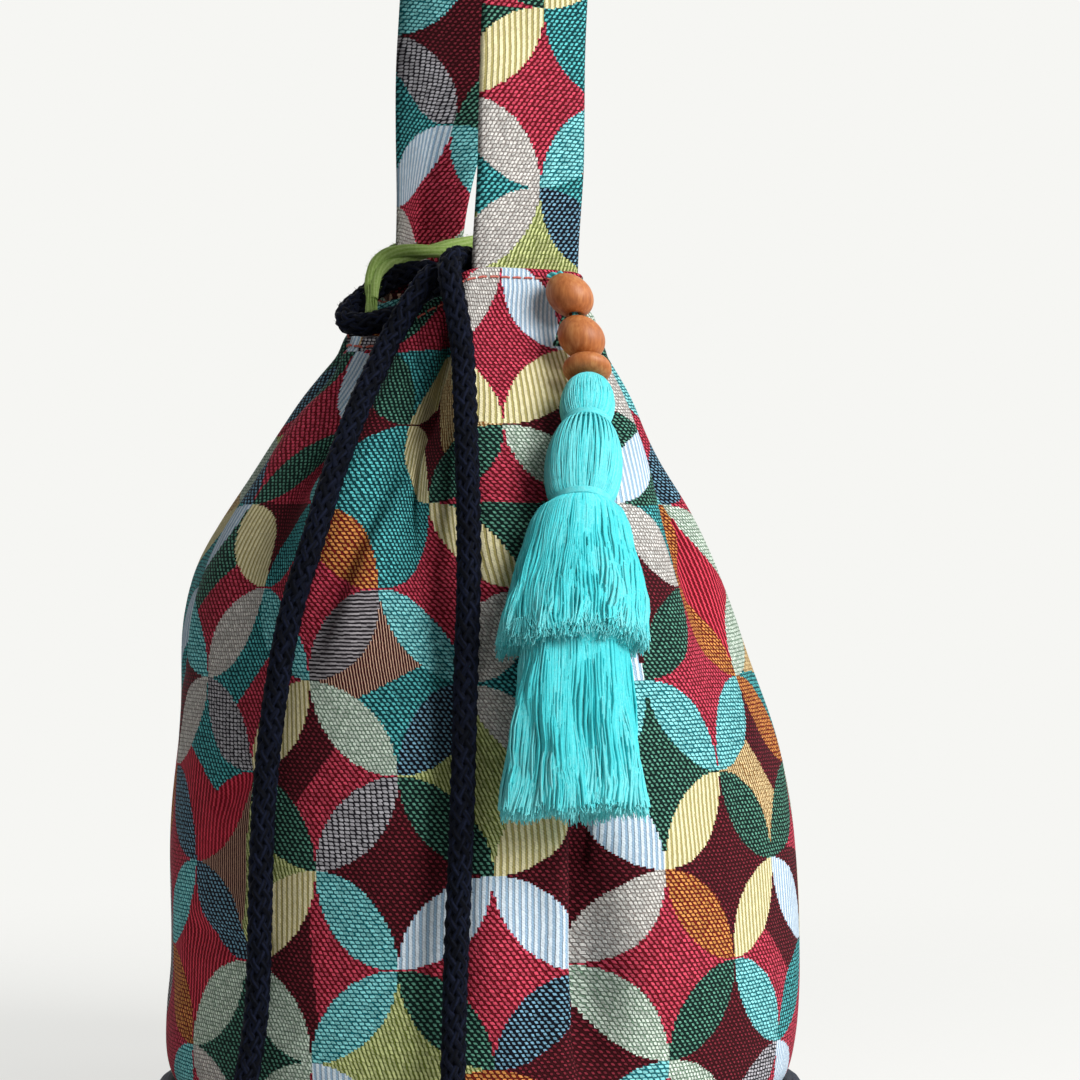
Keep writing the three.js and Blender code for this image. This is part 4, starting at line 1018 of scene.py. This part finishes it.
# the lobes of cloth between the gathers, round from the back end of the strap
lobes = []
for foot in (.5 * math.pi, 1.5 * math.pi):
    lobes.append((1, foot, bag["footAtRim"], foot, bag["footAtBase"]))
    rimHalf = (math.pi / 2 - bag["footAtRim"]) / bag["sideLobes"]
    baseHalf = (math.pi / 2 - bag["footAtBase"]) / bag["sideLobes"]
    for k in range(bag["sideLobes"]):
        lobes.append((0, foot + bag["footAtRim"] + (2 * k + 1) * rimHalf, rimHalf,
                      foot + bag["footAtBase"] + (2 * k + 1) * baseHalf, baseHalf))
lobeColumns = []
for lobe in lobes:
    count = round(bag["columns"] * lobe[4] / math.pi)
    spread = list(np.linspace(-1, 1, count, endpoint=False))
    if lobe is lobes[len(lobes) // 2]:  # closer columns where the front's deep crease runs
        closer = list(np.linspace(*bag["closerColumns"], bag["closerCount"]))
        spread = list(np.unique(np.round(spread + closer, 4)))
    beside = [off / bag["bellyRadius"] / lobe[4] for off in bag["seamColumns"]]
    if lobe is lobes[0]:
        spread[1:1] = [-1 + off for off in beside]
    if lobe is lobes[-1]:
        spread += [1 - off for off in beside[::-1]]
    lobeColumns += [(*lobe, across) for across in spread]
isFoot, rimMiddle, rimHalf, baseMiddle, baseHalf, lobeAcross = np.array(lobeColumns).T
baseAngle = baseMiddle + baseHalf * lobeAcross
takenUp = np.where(isFoot > 0, bag["footTakeUp"], bag["sideTakeUp"])
rimAngle = rimMiddle + rimHalf * np.tanh(takenUp * lobeAcross) / np.tanh(takenUp)


def placeOnLobe(angle, gather):
    # how far across its lobe a point lies, from its angle, since most of the cloth goes into the folds
    across = np.broadcast_to(lobeAcross, angle.shape)
    for _ in range(8):
        rim = rimMiddle + rimHalf * across * (1.25 - .25 * across ** 2)
        there = (baseMiddle + baseHalf * across) * (1 - gather) + rim * gather
        steep = baseHalf * (1 - gather) + rimHalf * (1.25 - .75 * across ** 2) * gather
        across = np.clip(across - (there - angle) / steep, -1, 1)
    return across


def wallPoints(up):
    # points on the outside of the cloth, in rows from the base, up = 0, to the hem, up = 1
    z = bag["seamHeight"] + (rimAt(rimAngle) - bag["seamHeight"]) * np.asarray(up, float)[:, None]
    gather = smoothstep(z, bag["gatherStart"], bag["rimHeight"])
    angle = baseAngle + (rimAngle - baseAngle) * gather
    radius = outlineRadius(z)
    flatness = smoothstep(z, bag["shoulderHeight"], bag["neckHeight"])
    off = np.clip(angle - rimMiddle, -.8 * bag["footAtRim"], .8 * bag["footAtRim"])
    radius = radius * (1 + isFoot * flatness * (1 / np.cos(off) - 1))
    fold = (1 - np.cos(math.pi * placeOnLobe(angle, gather))) / 2
    radius = radius - foldAt(z) * np.where(isFoot > 0, fold ** bag["footFold"], fold ** bag["sideFold"])
    radius = radius - dentAt(angle, z) - pinchAt(angle, z)
    leanX, leanY = leanAt(z)
    return np.stack([radius * np.cos(angle) + leanX, radius * np.sin(angle) + leanY, z], -1)


def gridNormals(points):
    around = np.roll(points, -1, 1) - np.roll(points, 1, 1)
    return unit(np.cross(around, np.gradient(points, axis=0)))


def creaseAt(points):
    # sharp on one side and soft on the other, as cloth buckles
    angle, z = np.arctan2(points[..., 1], points[..., 0]), points[..., 2]
    depth = np.zeros_like(z)
    radius, (ridgeHigh, ridgeAway, ridgeWide) = bag["creaseRadius"], bag["ridge"]
    fadeIn, fadeOut = bag["creaseFade"]
    for (fromAngle, fromZ), (toAngle, toZ), deep, leftWide, rightWide in bag["creases"]:
        off = turnFrom(angle, math.radians(fromAngle))
        run = np.array([radius * math.radians(toAngle - fromAngle), .001 * (toZ - fromZ)])
        length = math.hypot(*run)
        share = (radius * off * run[0] + (z - .001 * fromZ) * run[1]) / length ** 2
        aside = ((z - .001 * fromZ) * run[0] - radius * off * run[1]) / length
        wide = .001 * np.where(aside > 0, leftWide, rightWide)
        fade = smoothstep(share, 0, fadeIn) * (1 - smoothstep(share, fadeOut, 1))
        narrow = min(leftWide, rightWide)
        ridge = ridgeHigh * np.exp(-((np.abs(aside) - ridgeAway * narrow) / (ridgeWide * narrow)) ** 2)
        sharp = (aside > 0) == (leftWide < rightWide)
        depth += .001 * deep * fade * (np.exp(-(aside / wide) ** 2) - np.where(sharp, ridge, 0))
    for middle, height, out, wide, high in bag["bulges"]:
        off = np.degrees(turnFrom(angle, math.radians(middle))) / wide
        depth -= .001 * out * np.exp(-off ** 2 - ((1000 * z - height) / high) ** 2)
    return depth


def wrinkles(points, up):
    # how far the cloth stands in or out: soft waves over the body, and fine gathers up to the hem
    flat = points.reshape(-1, 3)
    broadFrom = Vector((3, 1, bag["seed"]))
    broad = np.array([noise.noise(Vector(p) * bag["broadWaves"] + broadFrom)
                      for p in flat]).reshape(points.shape[:2])
    small = np.array([noise.noise(Vector(p * bag["smallWaves"])) for p in flat]).reshape(points.shape[:2])
    z = points[..., 2]
    belowHem = 1 - smoothstep(np.asarray(up)[:, None], *bag["looseBelowHem"])
    loose = smoothstep(z, *bag["looseHeights"]) * belowHem
    gathers = np.zeros_like(z)
    rng = np.random.default_rng(bag["seed"])
    for count in bag["gathers"]:
        gathers += np.cos(count * baseAngle + rng.uniform(0, 6.28)) * rng.uniform(.5, 1)
    tight = smoothstep(z, *bag["gatherHeights"])
    # where the cloth's two ends are sewn together
    fromSeam = np.abs(turnFrom(baseAngle, baseAngle[0])) * bag["bellyRadius"]
    seam = bag["seamDepth"] * np.exp(-(fromSeam / bag["seamWidth"]) ** 2)
    soft = bag["broadDepth"] * broad - bag["settle"] + bag["smallDepth"] * small - creaseAt(points)
    return -seam + loose * soft + bag["gatherDepth"] * tight * gathers * (1 - .6 * isFoot)


wallUp = np.concatenate([np.linspace(0, bag["footShare"], bag["footRows"])[:-1],
                         np.linspace(bag["footShare"], 1, bag["rows"])])
outside = wallPoints(wallUp)
outside = outside + gridNormals(outside) * wrinkles(outside, wallUp)[..., None]
normals = gridNormals(outside)
# the hem is turned in: a little fuller over its last centimetre, with a groove where it is sewn
stitching = {"spacing": .0042, "stitch": .0030, "thickness": .00035, "below": .0026, "proud": .0003,
             "fullness": .0006, "turned": (.006, .011), "groove": .0009, "grooveWidth": .0009}
fromHem = outside[-1:, :, 2] - outside[..., 2]
fuller = stitching["fullness"] * (1 - smoothstep(fromHem, *stitching["turned"]))
groove = stitching["groove"] * np.exp(-((fromHem - stitching["below"]) / stitching["grooveWidth"]) ** 2)
outside = outside + normals * (fuller - groove)[..., None]
insideRows = np.arange(len(wallUp) - 1, -1, -3)
inner = outside[insideRows] - normals[insideRows] * bag["cloth"]
middle, halfCloth = (outside[-1] + inner[0]) / 2, (outside[-1] - inner[0]) / 2
lip = [middle + halfCloth * math.cos(t) + np.array([0, 0, .5 * bag["cloth"]]) * math.sin(t)
       for t in (.7, 1.57, 2.44)]
wallGrid = np.concatenate([outside, np.array(lip), inner])
wallV = np.interp(outside[..., 2], outline[:, 1], outlineTravel)
lipV = wallV[-1] + np.array([.0008, .0016, .0024])[:, None]
innerV = 2 * wallV[-1] - wallV[insideRows] + .0032
wallV = np.concatenate([wallV, lipV, innerV, wallV[:1] - .002])
wallV = np.concatenate([wallV, wallV[:, :1]], 1)
wallU = np.tile(np.append(baseAngle, baseAngle[0] + 2 * math.pi) * bag["bellyRadius"], (len(wallV), 1))
wall = gridPiece("tapestryBody", wallGrid, tapestry, wrapRows=True, uv=np.stack([wallU, wallV], -1))
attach(wall, "bag")
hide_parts("outer_wall")
print("body made:", len(wall.data.polygons), "faces")

# hem stitching, in salmon thread
hemUp = 1 - stitching["below"] / (rimAt(rimAngle) - bag["seamHeight"])
hemPoints, hemNormals = [
    np.array([[np.interp(at, wallUp, rows[:, c, k]) for k in range(3)] for c, at in enumerate(hemUp)])
    for rows in (outside, normals)]
hemLine = hemPoints + hemNormals * stitching["proud"]
hemStitches = grow("hemStitches", stitchTree, guideMesh("hemLine", np.vstack([hemLine, hemLine[:1]])), {
    "Spacing": stitching["spacing"], "Stitch": stitching["stitch"], "Thickness": stitching["thickness"],
    "Material": yarn["salmon"]})
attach(hemStitches, "bag")

# lining: a dark cotton bag inside, sewn in below the hem
liningSheet = {"cloth": .001, "ease": .0025, "drop": .030, "columns": 160, "rows": 54,
               "pleats": 23, "pleatDepth": .0009, "pleatHeights": (.10, .24),
               "floorRings": (.02, .2, .4, .6, .8, .93)}
liningAngle = turnsOf(liningSheet["columns"])


def liningPoints(inset):
    up = np.linspace(0, 1, liningSheet["rows"])[:, None]
    z = bag["seamHeight"] + (rimAt(liningAngle) - liningSheet["drop"] - bag["seamHeight"]) * up
    radius = outlineRadius(z) - foldAt(z) - dentAt(liningAngle, z) - pinchAt(liningAngle, z)
    radius = radius - bag["cloth"] - liningSheet["ease"] - inset
    pleat = 1 - np.cos(liningSheet["pleats"] * liningAngle + 2 * np.sin(3 * liningAngle))
    radius = radius - liningSheet["pleatDepth"] * pleat * smoothstep(z, *liningSheet["pleatHeights"])
    leanX, leanY = leanAt(z)
    straight = np.stack([radius * np.cos(liningAngle), radius * np.sin(liningAngle), z], -1)
    radius = radius - np.maximum(creaseAt(straight), 0) * smoothstep(z, *bag["looseHeights"])
    rise = np.maximum(z, bag["seamHeight"] + (liningSheet["cloth"] if inset else 0))
    x, y = radius * np.cos(liningAngle) + leanX, radius * np.sin(liningAngle) + leanY
    wallPart = np.stack([x, y, rise], -1)
    floorPart = np.stack([wallPart[0] * [s, s, 1] for s in liningSheet["floorRings"]])
    return np.concatenate([floorPart, wallPart])


liningGrid = np.concatenate([liningPoints(0), liningPoints(liningSheet["cloth"])[::-1]])
travel = np.cumsum(np.linalg.norm(np.diff(liningGrid, axis=0, prepend=liningGrid[:1]), axis=2), axis=0)
liningV = np.concatenate([travel, travel[:1]])
liningV = np.concatenate([liningV, liningV[:, :1]], 1)
liningU = np.tile(np.append(liningAngle, 2 * math.pi) * .1, (len(liningV), 1))
lining = gridPiece("liningBag", liningGrid, cottons["lining"], wrapRows=True,
                   uv=np.stack([liningU, liningV], -1))
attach(lining, "bag")
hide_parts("lining")

# base: a board covered in navy cotton, with piping in the seam round it
base = {"radius": .102, "board": .004, "round": .0011, "middle": .0006, "columns": 144,
        "underRings": (.03, .06, .085), "topRing": .06}
edge = [(base["radius"] - base["round"] * (1 - math.sin(t)), base["round"] * (1 - math.cos(t)))
        for t in np.linspace(0, 1.57, 6)]
profile = [(r, 0) for r in (base["middle"], *base["underRings"])] + edge
profile += [(r, base["board"] - z) for r, z in edge[::-1]]
profile += [(r, base["board"]) for r in (base["topRing"], base["middle"])]
turns = turnsOf(base["columns"])
baseGrid = np.array([[(r * math.cos(a), r * math.sin(a), z) for a in turns] for r, z in profile])
closedBase = np.concatenate([baseGrid, baseGrid[:, :1]], 1)
board = gridPiece("basePanel", baseGrid, cottons["navy"], capped=True, uv=closedBase[..., :2])
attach(board, "bag")
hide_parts("base_panel")

pipingCord = {"columns": 240, "sides": 16, "uneven": .03, "swells": 9}
pipingTurns, pipingRound = turnsOf(pipingCord["columns"]), turnsOf(pipingCord["sides"])
waves, uneven = pipingCord["swells"], pipingCord["uneven"]
swell = np.array([noise.noise(Vector((waves * math.cos(a), waves * math.sin(a), 4))) for a in pipingTurns])
pipingGrid = []
for a, r in zip(pipingTurns, bag["pipingRadius"] * (1 - uneven - uneven * swell)):
    reach = [bag["pipingRing"] + r * math.cos(b) for b in pipingRound]
    pipingGrid.append([(out * math.cos(a), out * math.sin(a), bag["pipingHeight"] + r * math.sin(b))
                       for out, b in zip(reach, pipingRound)])
pipingGrid = np.array(pipingGrid)
biasU, biasV = np.meshgrid(np.append(pipingTurns, 2 * math.pi) * bag["pipingRing"],
                           np.append(pipingRound, 2 * math.pi) * bag["pipingRadius"], indexing="ij")
piping = gridPiece("basePiping", pipingGrid, cottons["navy"], wrapRows=True,
                   uv=np.stack([biasU + biasV, biasU - biasV], -1) * .7)
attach(piping, "bag")
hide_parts("base_piping")
print("lining, base and piping made")


# strap: one folded band of the same tapestry, up from behind the front of the hem, over,
# and down behind the back

strapBand = {
    "width": .040, "thick": .004, "top": .600, "bend": .025, "lean": .016,
    # how far it goes in behind the hem and stands off it, and how far above it stays upright
    "tuck": .026, "hemTurn": .0012, "clothsBehind": 1.1, "upright": .006,
    "tieHeight": .296, "tiedWidth": .026, "tiedAside": -.0035, "tiedReach": .070,
    "frontAside": .0017, "frontReach": .04, "keptFold": .0045, "keptReach": (.05, .15),
    "ripple": .0011, "rippleWaves": (1.4, 24), "rippleReach": .05,
    "columns": 26, "frontRows": 120, "bendRows": 40, "rearRows": 160,
    "patternAside": .4285, "patternUp": -.167,
}
strapFoot = bag["rimHeight"] - strapBand["tuck"]
bendHeight = strapBand["top"] - strapBand["bend"]


def strapSeat(z):
    rim, upright = bag["rimHeight"], strapBand["upright"]
    seat = outlineRadius(np.minimum(z, rim)) - strapBand["clothsBehind"] * bag["cloth"]
    seat = seat - strapBand["hemTurn"] - strapBand["thick"] / 2
    share = np.clip((z - rim - upright) / (bendHeight - rim - upright), 0, 1)
    return seat + (strapBand["bend"] - seat) * share


def strapSide(z):
    share = np.clip((z - bag["rimHeight"]) / (strapBand["top"] - bag["rimHeight"]), 0, 1)
    return strapBand["lean"] * share ** 1.2


frontZ = np.linspace(strapFoot, bendHeight, strapBand["frontRows"])
bendTurn = np.linspace(0, math.pi, strapBand["bendRows"])[1:-1]
bendZ = bendHeight + strapBand["bend"] * np.sin(bendTurn)
rearZ = np.linspace(bendHeight, strapFoot, strapBand["rearRows"])
strapZ = np.concatenate([frontZ, bendZ, rearZ])
strapY = np.concatenate([-strapSeat(frontZ), -strapBand["bend"] * np.cos(bendTurn), strapSeat(rearZ)])
strapMiddle = np.stack([strapSide(strapZ), strapY, strapZ], 1)
# drawn together at the green tie, on the rear run alone
hemHeight, tieHeight, beforeRear = bag["rimHeight"], strapBand["tieHeight"], len(frontZ) + len(bendZ)
belowTie = smoothstep(strapZ, hemHeight, tieHeight)
aboveTie = 1 - smoothstep(strapZ, tieHeight, tieHeight + strapBand["tiedReach"])
drawn = np.where(strapZ < tieHeight, belowTie, aboveTie)
drawn[:beforeRear] = 0
strapMiddle[:, 0] += strapBand["tiedAside"] * drawn
shifted = smoothstep(frontZ, hemHeight, hemHeight + strapBand["frontReach"])
strapMiddle[:len(frontZ), 0] += strapBand["frontAside"] * shifted
strapMiddle[len(frontZ):beforeRear, 0] += strapBand["frontAside"] * (1 - bendTurn / math.pi)
strapAlong = unit(np.gradient(strapMiddle, axis=0))
strapOut = unit(np.cross(strapAlong, np.array([1.0, 0, 0])))
halfWidth = (strapBand["width"] - (strapBand["width"] - strapBand["tiedWidth"]) * drawn) / 2
crease = np.sqrt(np.maximum((strapBand["width"] / 2) ** 2 - halfWidth ** 2, 0))
keptFrom, keptTo = [tieHeight + reach for reach in strapBand["keptReach"]]
kept = strapBand["keptFold"] * (1 - smoothstep(strapZ, keptFrom, keptTo))
kept[:beforeRear] = 0
crease = np.maximum(crease, kept * belowTie)
line = np.linspace(-1, 1, strapBand["columns"])
swellOf = strapBand["thick"] / 2 * (1 - np.abs(line) ** 7) ** .5
strapTravel = travelAlong(strapMiddle)
acrossWaves, alongWaves = strapBand["rippleWaves"]
ripple = np.array([[noise.noise(Vector((acrossWaves * s, alongWaves * t, 7.0))) for s in line]
                   for t in strapTravel])
ripple *= strapBand["ripple"]
ripple *= smoothstep(strapZ, hemHeight, hemHeight + strapBand["rippleReach"])[:, None]
faces = []
for side in (1, -1):
    bow = crease[:, None] * (1 - np.sqrt(line ** 2 + .004) / math.sqrt(1.004))
    lift = side * swellOf[None] - bow + ripple
    flat = strapMiddle[:, None] + halfWidth[:, None, None] * line[None, :, None] * np.array([1.0, 0, 0])
    grid = flat + lift[..., None] * strapOut[:, None]
    faces.append(grid if side > 0 else grid[:, ::-1])
strapGrid = np.concatenate([faces[0], faces[1][:, 1:-1]], 1)
frontU = .5 * strapBand["width"] * line
backU = frontU[-1] + np.cumsum(np.full(len(line) - 1, strapBand["width"] / (len(line) - 1)))
strapU = np.concatenate([frontU, backU]) + strapBand["patternAside"]
strapV = strapTravel + strapFoot + strapBand["patternUp"]
strapUv = np.stack(np.meshgrid(strapV, strapU, indexing="ij"), -1)[..., ::-1]
strap = gridPiece("tapestryStrap", strapGrid, tapestry, capped=True, uv=strapUv)
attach(strap, "bag")
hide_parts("strap")
print("strap made:", round(float(strapTravel[-1]), 3), "m")


# charm: beads and a two-tier tassel on a thread from the hem

charm = {
    "angle": math.radians(-117), "aside": .0325, "sway": .0019, "drop": .0086, "steepness": .9,
    "seam": (.005, -.041836, .2815), "gap": .0003, "beadClear": .003,
    "beadDiameter": .0156, "beadHole": .004, "beadLip": .0008, "discDiameter": .0162, "discThick": .008,
    "crownLength": .019, "crownRadius": .0088, "upperWaist": .0066, "bindingLength": .0032,
    "headLength": .0294, "headRadius": .0124, "lowerWaist": .0084, "roundness": .6,
    "upperSkirt": .0465, "upperHalf": (.0245, .015), "fullness": .4,
    "lowerSkirt": .053, "lowerHalf": (.0238, .0135), "lowerRoot": .030, "rootHalf": (.0125, .0085),
    "heart": .965, "heartSides": 40,
}
charmOut = np.array([math.cos(charm["angle"]), math.sin(charm["angle"]), 0])
charmAcross = np.array([-charmOut[1], charmOut[0], 0])
beadStep = charm["beadDiameter"] + charm["gap"]
discStep = beadStep + (charm["beadDiameter"] + charm["discThick"]) / 2 + charm["gap"]
crownStart = discStep + charm["discThick"] / 2 + charm["gap"]
headStart = crownStart + charm["crownLength"] + charm["bindingLength"]
skirtStart = headStart + charm["headLength"] + charm["bindingLength"]
upperHem = skirtStart + charm["upperSkirt"]


def charmPoint(length, standoff, sway):
    z = bag["rimHeight"] - charm["drop"] - charm["steepness"] * length
    lean = np.array([*leanAt(z), 0])
    side = charm["aside"] + sway * charm["sway"]
    aside = side - lean @ charmAcross
    slope = (outlineRadius(z - .002) - outlineRadius(z + .002)) / .004
    reach = outlineRadius(z) + standoff * math.hypot(1, slope)
    out = math.sqrt(reach ** 2 - aside ** 2) + lean @ charmOut
    return charmOut * out + charmAcross * side + np.array([0, 0, z])


beadStand = charm["beadDiameter"] / 2 + charm["beadClear"]
charmCurve = catmullRom([charmPoint(*station) for station in (
    (0, beadStand - .0012, -1), (beadStep, beadStand + .0008, 1),
    (discStep, charm["discDiameter"] / 2 + charm["beadClear"], 2),
    (headStart + charm["headLength"] / 2, charm["headRadius"] + .0015, 1),
    (skirtStart + .3 * charm["upperSkirt"], charm["headRadius"] + .003, 0),
    (skirtStart + .9 * charm["upperSkirt"], charm["upperHalf"][1] + .002, -.3),
    (upperHem + .4 * charm["lowerSkirt"], charm["upperHalf"][1] + .002, -.5),
    (upperHem + charm["lowerSkirt"], charm["lowerHalf"][1] + .0025, -.2))], 2000)
charmTravel = travelAlong(charmCurve)


def charmAt(distance):
    inside = np.clip(distance, 0, charmTravel[-1])
    step = .0005
    stations = [inside, max(inside - step, 0), min(inside + step, charmTravel[-1])]
    at, low, high = np.stack([np.interp(stations, charmTravel, charmCurve[:, k]) for k in range(3)], 1)
    along = unit(high - low)
    return at + along * (distance - inside), along, unit(np.cross(along, charmAcross))


def turned(name, profile, distance, material, columns=48):
    # a piece turned on the charm's line, from (radius, height) pairs that close on themselves
    at, along, out = charmAt(distance)
    turns = turnsOf(columns)
    ring = np.cos(turns)[:, None] * charmAcross + np.sin(turns)[:, None] * out
    return gridPiece(name, np.array([at + along * h + r * ring for r, h in profile]), material,
                     wrapRows=True)


def beadProfile(radius, halfThick, fullness):
    hole, lip = charm["beadHole"] / 2, charm["beadLip"]
    t = np.linspace(-1, 1, 27) * math.acos((hole + lip) / radius)
    line = [(radius * math.cos(a) ** fullness, halfThick * math.sin(a)) for a in t]
    top = line[-1][1]
    lipLine = [(hole + lip * (1 - math.sin(a)), top - lip * .8 * (1 - math.cos(a)))
               for a in np.linspace(.3, 1.57, 5)]
    return line + lipLine + [(r, -h) for r, h in lipLine[::-1]]


threadStations = (-.5 * charm["beadDiameter"], 0, .5 * beadStep, beadStep,
                  beadStep + .6 * (discStep - beadStep), discStep, crownStart - charm["gap"])
threadPath = evenly(catmullRom([charm["seam"]] + [charmAt(s)[0] for s in threadStations], 300), .0008)
threadLay = {"strands": 2, "turn": .006, "lay": .00055, "over": 0.0, "strandRadius": .00062, "core": .0003,
             "fibres": 90000.0, "fibreLength": .0008, "fibreRadius": .00004}
charmThread = layCord("charmThread", threadPath, threadLay, yarn["turquoise"], braided=0.0, seed=12)
charmPieces = [(charmThread, "charm_thread", "turquoise_yarn")]
beadLine = beadProfile(charm["beadDiameter"] / 2, charm["beadDiameter"] / 2, 1)
discLine = beadProfile(charm["discDiameter"] / 2, charm["discThick"] / 2, .8)
for name, node, line, distance in (("topBead", "bead_top", beadLine, 0),
                                   ("middleBead", "bead_middle", beadLine, beadStep),
                                   ("discBead", "bead_disc", discLine, discStep)):
    charmPieces.append((turned(name, line, distance, beech), node, "oiled_beech"))

charmGuide = np.array([charmAt(d)[0] for d in np.linspace(0, .215, 260)])
upperWaist, lowerWaist = charm["upperWaist"], charm["lowerWaist"]
headSwell = charm["headRadius"] - .5 * (upperWaist + lowerWaist)
close = {"uneven": 0.0, "flare": 1.0, "wave": .0006, "stray": .16,
         "radius": .00028, "lighter": .45, "paintedLightAtEnd": 0.0}
hanging = {"swell": 0.0, "radius": .00048, "lighter": 0.0, "paintedLightAtEnd": .6}
# frays: their added lightness and the painted light at their ends lift the shade among the thin fibres
frayed = {"strands": 2200, "length": .006, "uneven": .35, "swell": 0.0, "flare": 1.0, "wave": .012,
          "stray": .12, "radius": .00018, "points": 5, "lighter": .5, "paintedLightAtEnd": .6}
frayRoom = .0055
# root and hem are half widths across and through; core is the share of them that the strands leave empty
bundles = {
    "crown": {**close, "node": "tassel_upper", "strands": 300, "start": crownStart + .0014,
              "length": charm["crownLength"] - .0014,
              "root": (.8 * upperWaist,) * 2, "hem": (upperWaist,) * 2,
              "swell": charm["crownRadius"] - .9 * upperWaist, "core": .97, "points": 11},
    "head": {**close, "node": "tassel_upper", "strands": 520, "start": headStart - .002,
             "length": charm["headLength"] + .004,
             "root": (upperWaist,) * 2, "hem": (lowerWaist,) * 2,
             "swell": headSwell, "core": .975, "points": 13},
    "upperSkirt": {**hanging, "node": "tassel_upper", "strands": 1150, "start": skirtStart - .002,
                   "length": charm["upperSkirt"] + .001, "uneven": .025,
                   "root": (lowerWaist,) * 2, "hem": (.0229, .0137), "flare": charm["fullness"],
                   "core": .86, "wave": .012, "stray": .05, "points": 13},
    "lowerSkirt": {**hanging, "node": "tassel_lower", "strands": 1150,
                   "start": upperHem - charm["lowerRoot"],
                   "length": charm["lowerRoot"] + charm["lowerSkirt"] - .001, "uneven": .015,
                   "root": charm["rootHalf"], "hem": (.0225, .0127), "flare": 1.0,
                   "core": .84, "wave": .012, "stray": .06, "points": 14},
    "upperFray": {**frayed, "node": "tassel_upper", "start": upperHem - frayRoom,
                  "root": (.0226, .0138), "hem": (.0238, .0148), "core": .6},
    "lowerFray": {**frayed, "node": "tassel_lower", "start": upperHem + charm["lowerSkirt"] - frayRoom,
                  "root": (.0216, .0119), "hem": (.0226, .0125), "core": .4},
}
for k, (name, bundle) in enumerate(bundles.items()):
    piece = grow(name, bundleTree, guideMesh(name, charmGuide), {
        "Strands": bundle["strands"], "Start": bundle["start"], "Length": bundle["length"],
        "Uneven": bundle["uneven"], "Root": (*bundle["root"], 0), "Hem": (*bundle["hem"], 0),
        "Swell": bundle["swell"], "Roundness": charm["roundness"], "Flare": bundle["flare"],
        "Core": bundle["core"], "Wave": bundle["wave"], "Stray": bundle["stray"],
        "Across": tuple(charmAcross), "Yarn radius": bundle["radius"], "Sides": 3,
        "Points": bundle["points"], "Lighter": bundle["lighter"], "Painted light at end": bundle["paintedLightAtEnd"],
        "Seed": 20 + k, "Material": yarn["turquoise"]})
    charmPieces.append((piece, bundle["node"], "turquoise_yarn"))

# bindings: turns of thread round the tassel's two necks
bindingLay = {"strands": 1, "turn": .01, "lay": 0.0, "over": 0.0, "strandRadius": .00045, "core": .0002,
              "fibres": 60000.0, "fibreLength": .0007, "fibreRadius": .00004,
              "turns": 7, "steps": 30, "thread": .0006, "narrower": .35, "step": .0016}
for name, node, waist, start in (("upperBinding", "upper_binding", upperWaist, headStart),
                                 ("lowerBinding", "lower_binding", lowerWaist, skirtStart)):
    middle = start - charm["bindingLength"] / 2
    spread = charm["bindingLength"] - bindingLay["thread"]
    wraps = []
    for layer in (0, 1):
        for t in np.linspace(0, 1, bindingLay["turns"] * bindingLay["steps"]):
            reach = spread * (t - .5) * (1 - bindingLay["narrower"] * layer)
            at, along, out = charmAt(middle + reach)
            turn = 2 * math.pi * bindingLay["turns"] * t
            radius = waist + bindingLay["thread"] + bindingLay["thread"] * layer
            wraps.append(at + radius * (math.cos(turn) * charmAcross + math.sin(turn) * out))
    wrapPath = evenly(np.array(wraps), bindingLay["step"])
    piece = layCord(name, wrapPath, bindingLay, yarn["turquoise"], braided=0.0, seed=31)
    charmPieces.append((piece, node, "turquoise_yarn"))

# the tassel's inside: the same yarn, close packed
heartLine = []
for u in np.linspace(0, 1, 14):
    bulge = (charm["crownRadius"] - .7 * upperWaist) * max(math.sin(math.pi * u), 0) ** charm["roundness"]
    radius = .4 * upperWaist + .6 * upperWaist * u + bulge
    heartLine.append((crownStart + u * charm["crownLength"], (radius, radius)))
for u in np.linspace(0, 1, 18):
    bulge = headSwell * max(math.sin(math.pi * u), 0) ** charm["roundness"]
    radius = upperWaist + (lowerWaist - upperWaist) * u + bulge
    heartLine.append((headStart + u * charm["headLength"], (radius, radius)))
for u in np.linspace(.02, .96, 14):
    halves = [.9 * (lowerWaist + (half - lowerWaist) * u ** charm["fullness"])
              for half in charm["upperHalf"]]
    heartLine.append((skirtStart + u * charm["upperSkirt"], halves))
lowerWhole = charm["lowerRoot"] + charm["lowerSkirt"]
for u in np.linspace(.08, .97, 10):
    down = charm["lowerRoot"] + u * charm["lowerSkirt"]
    halves = [.85 * (root + (half - root) * down / lowerWhole)
              for root, half in zip(charm["rootHalf"], charm["lowerHalf"])]
    heartLine.append((upperHem + u * charm["lowerSkirt"], halves))
heartTurns = turnsOf(charm["heartSides"])
heartGrid = []
for distance, (wide, deep) in heartLine:
    at, along, out = charmAt(distance)
    ring = wide * np.cos(heartTurns)[:, None] * charmAcross + deep * np.sin(heartTurns)[:, None] * out
    heartGrid.append(at + charm["heart"] * ring)
heart = gridPiece("tasselHeart", np.array(heartGrid), yarn["turquoise"], capped=True)
charmPieces.append((heart, "tassel_upper", "turquoise_yarn"))

for piece, node, slot in charmPieces:
    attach(piece, "charm")
    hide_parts(node)
print("charm made")

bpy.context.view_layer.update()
total = 0
for piece in bpy.data.objects:
    if piece.type == "MESH":
        piece.data.calc_loop_triangles()
        total += len(piece.data.loop_triangles)
print("triangles:", total)
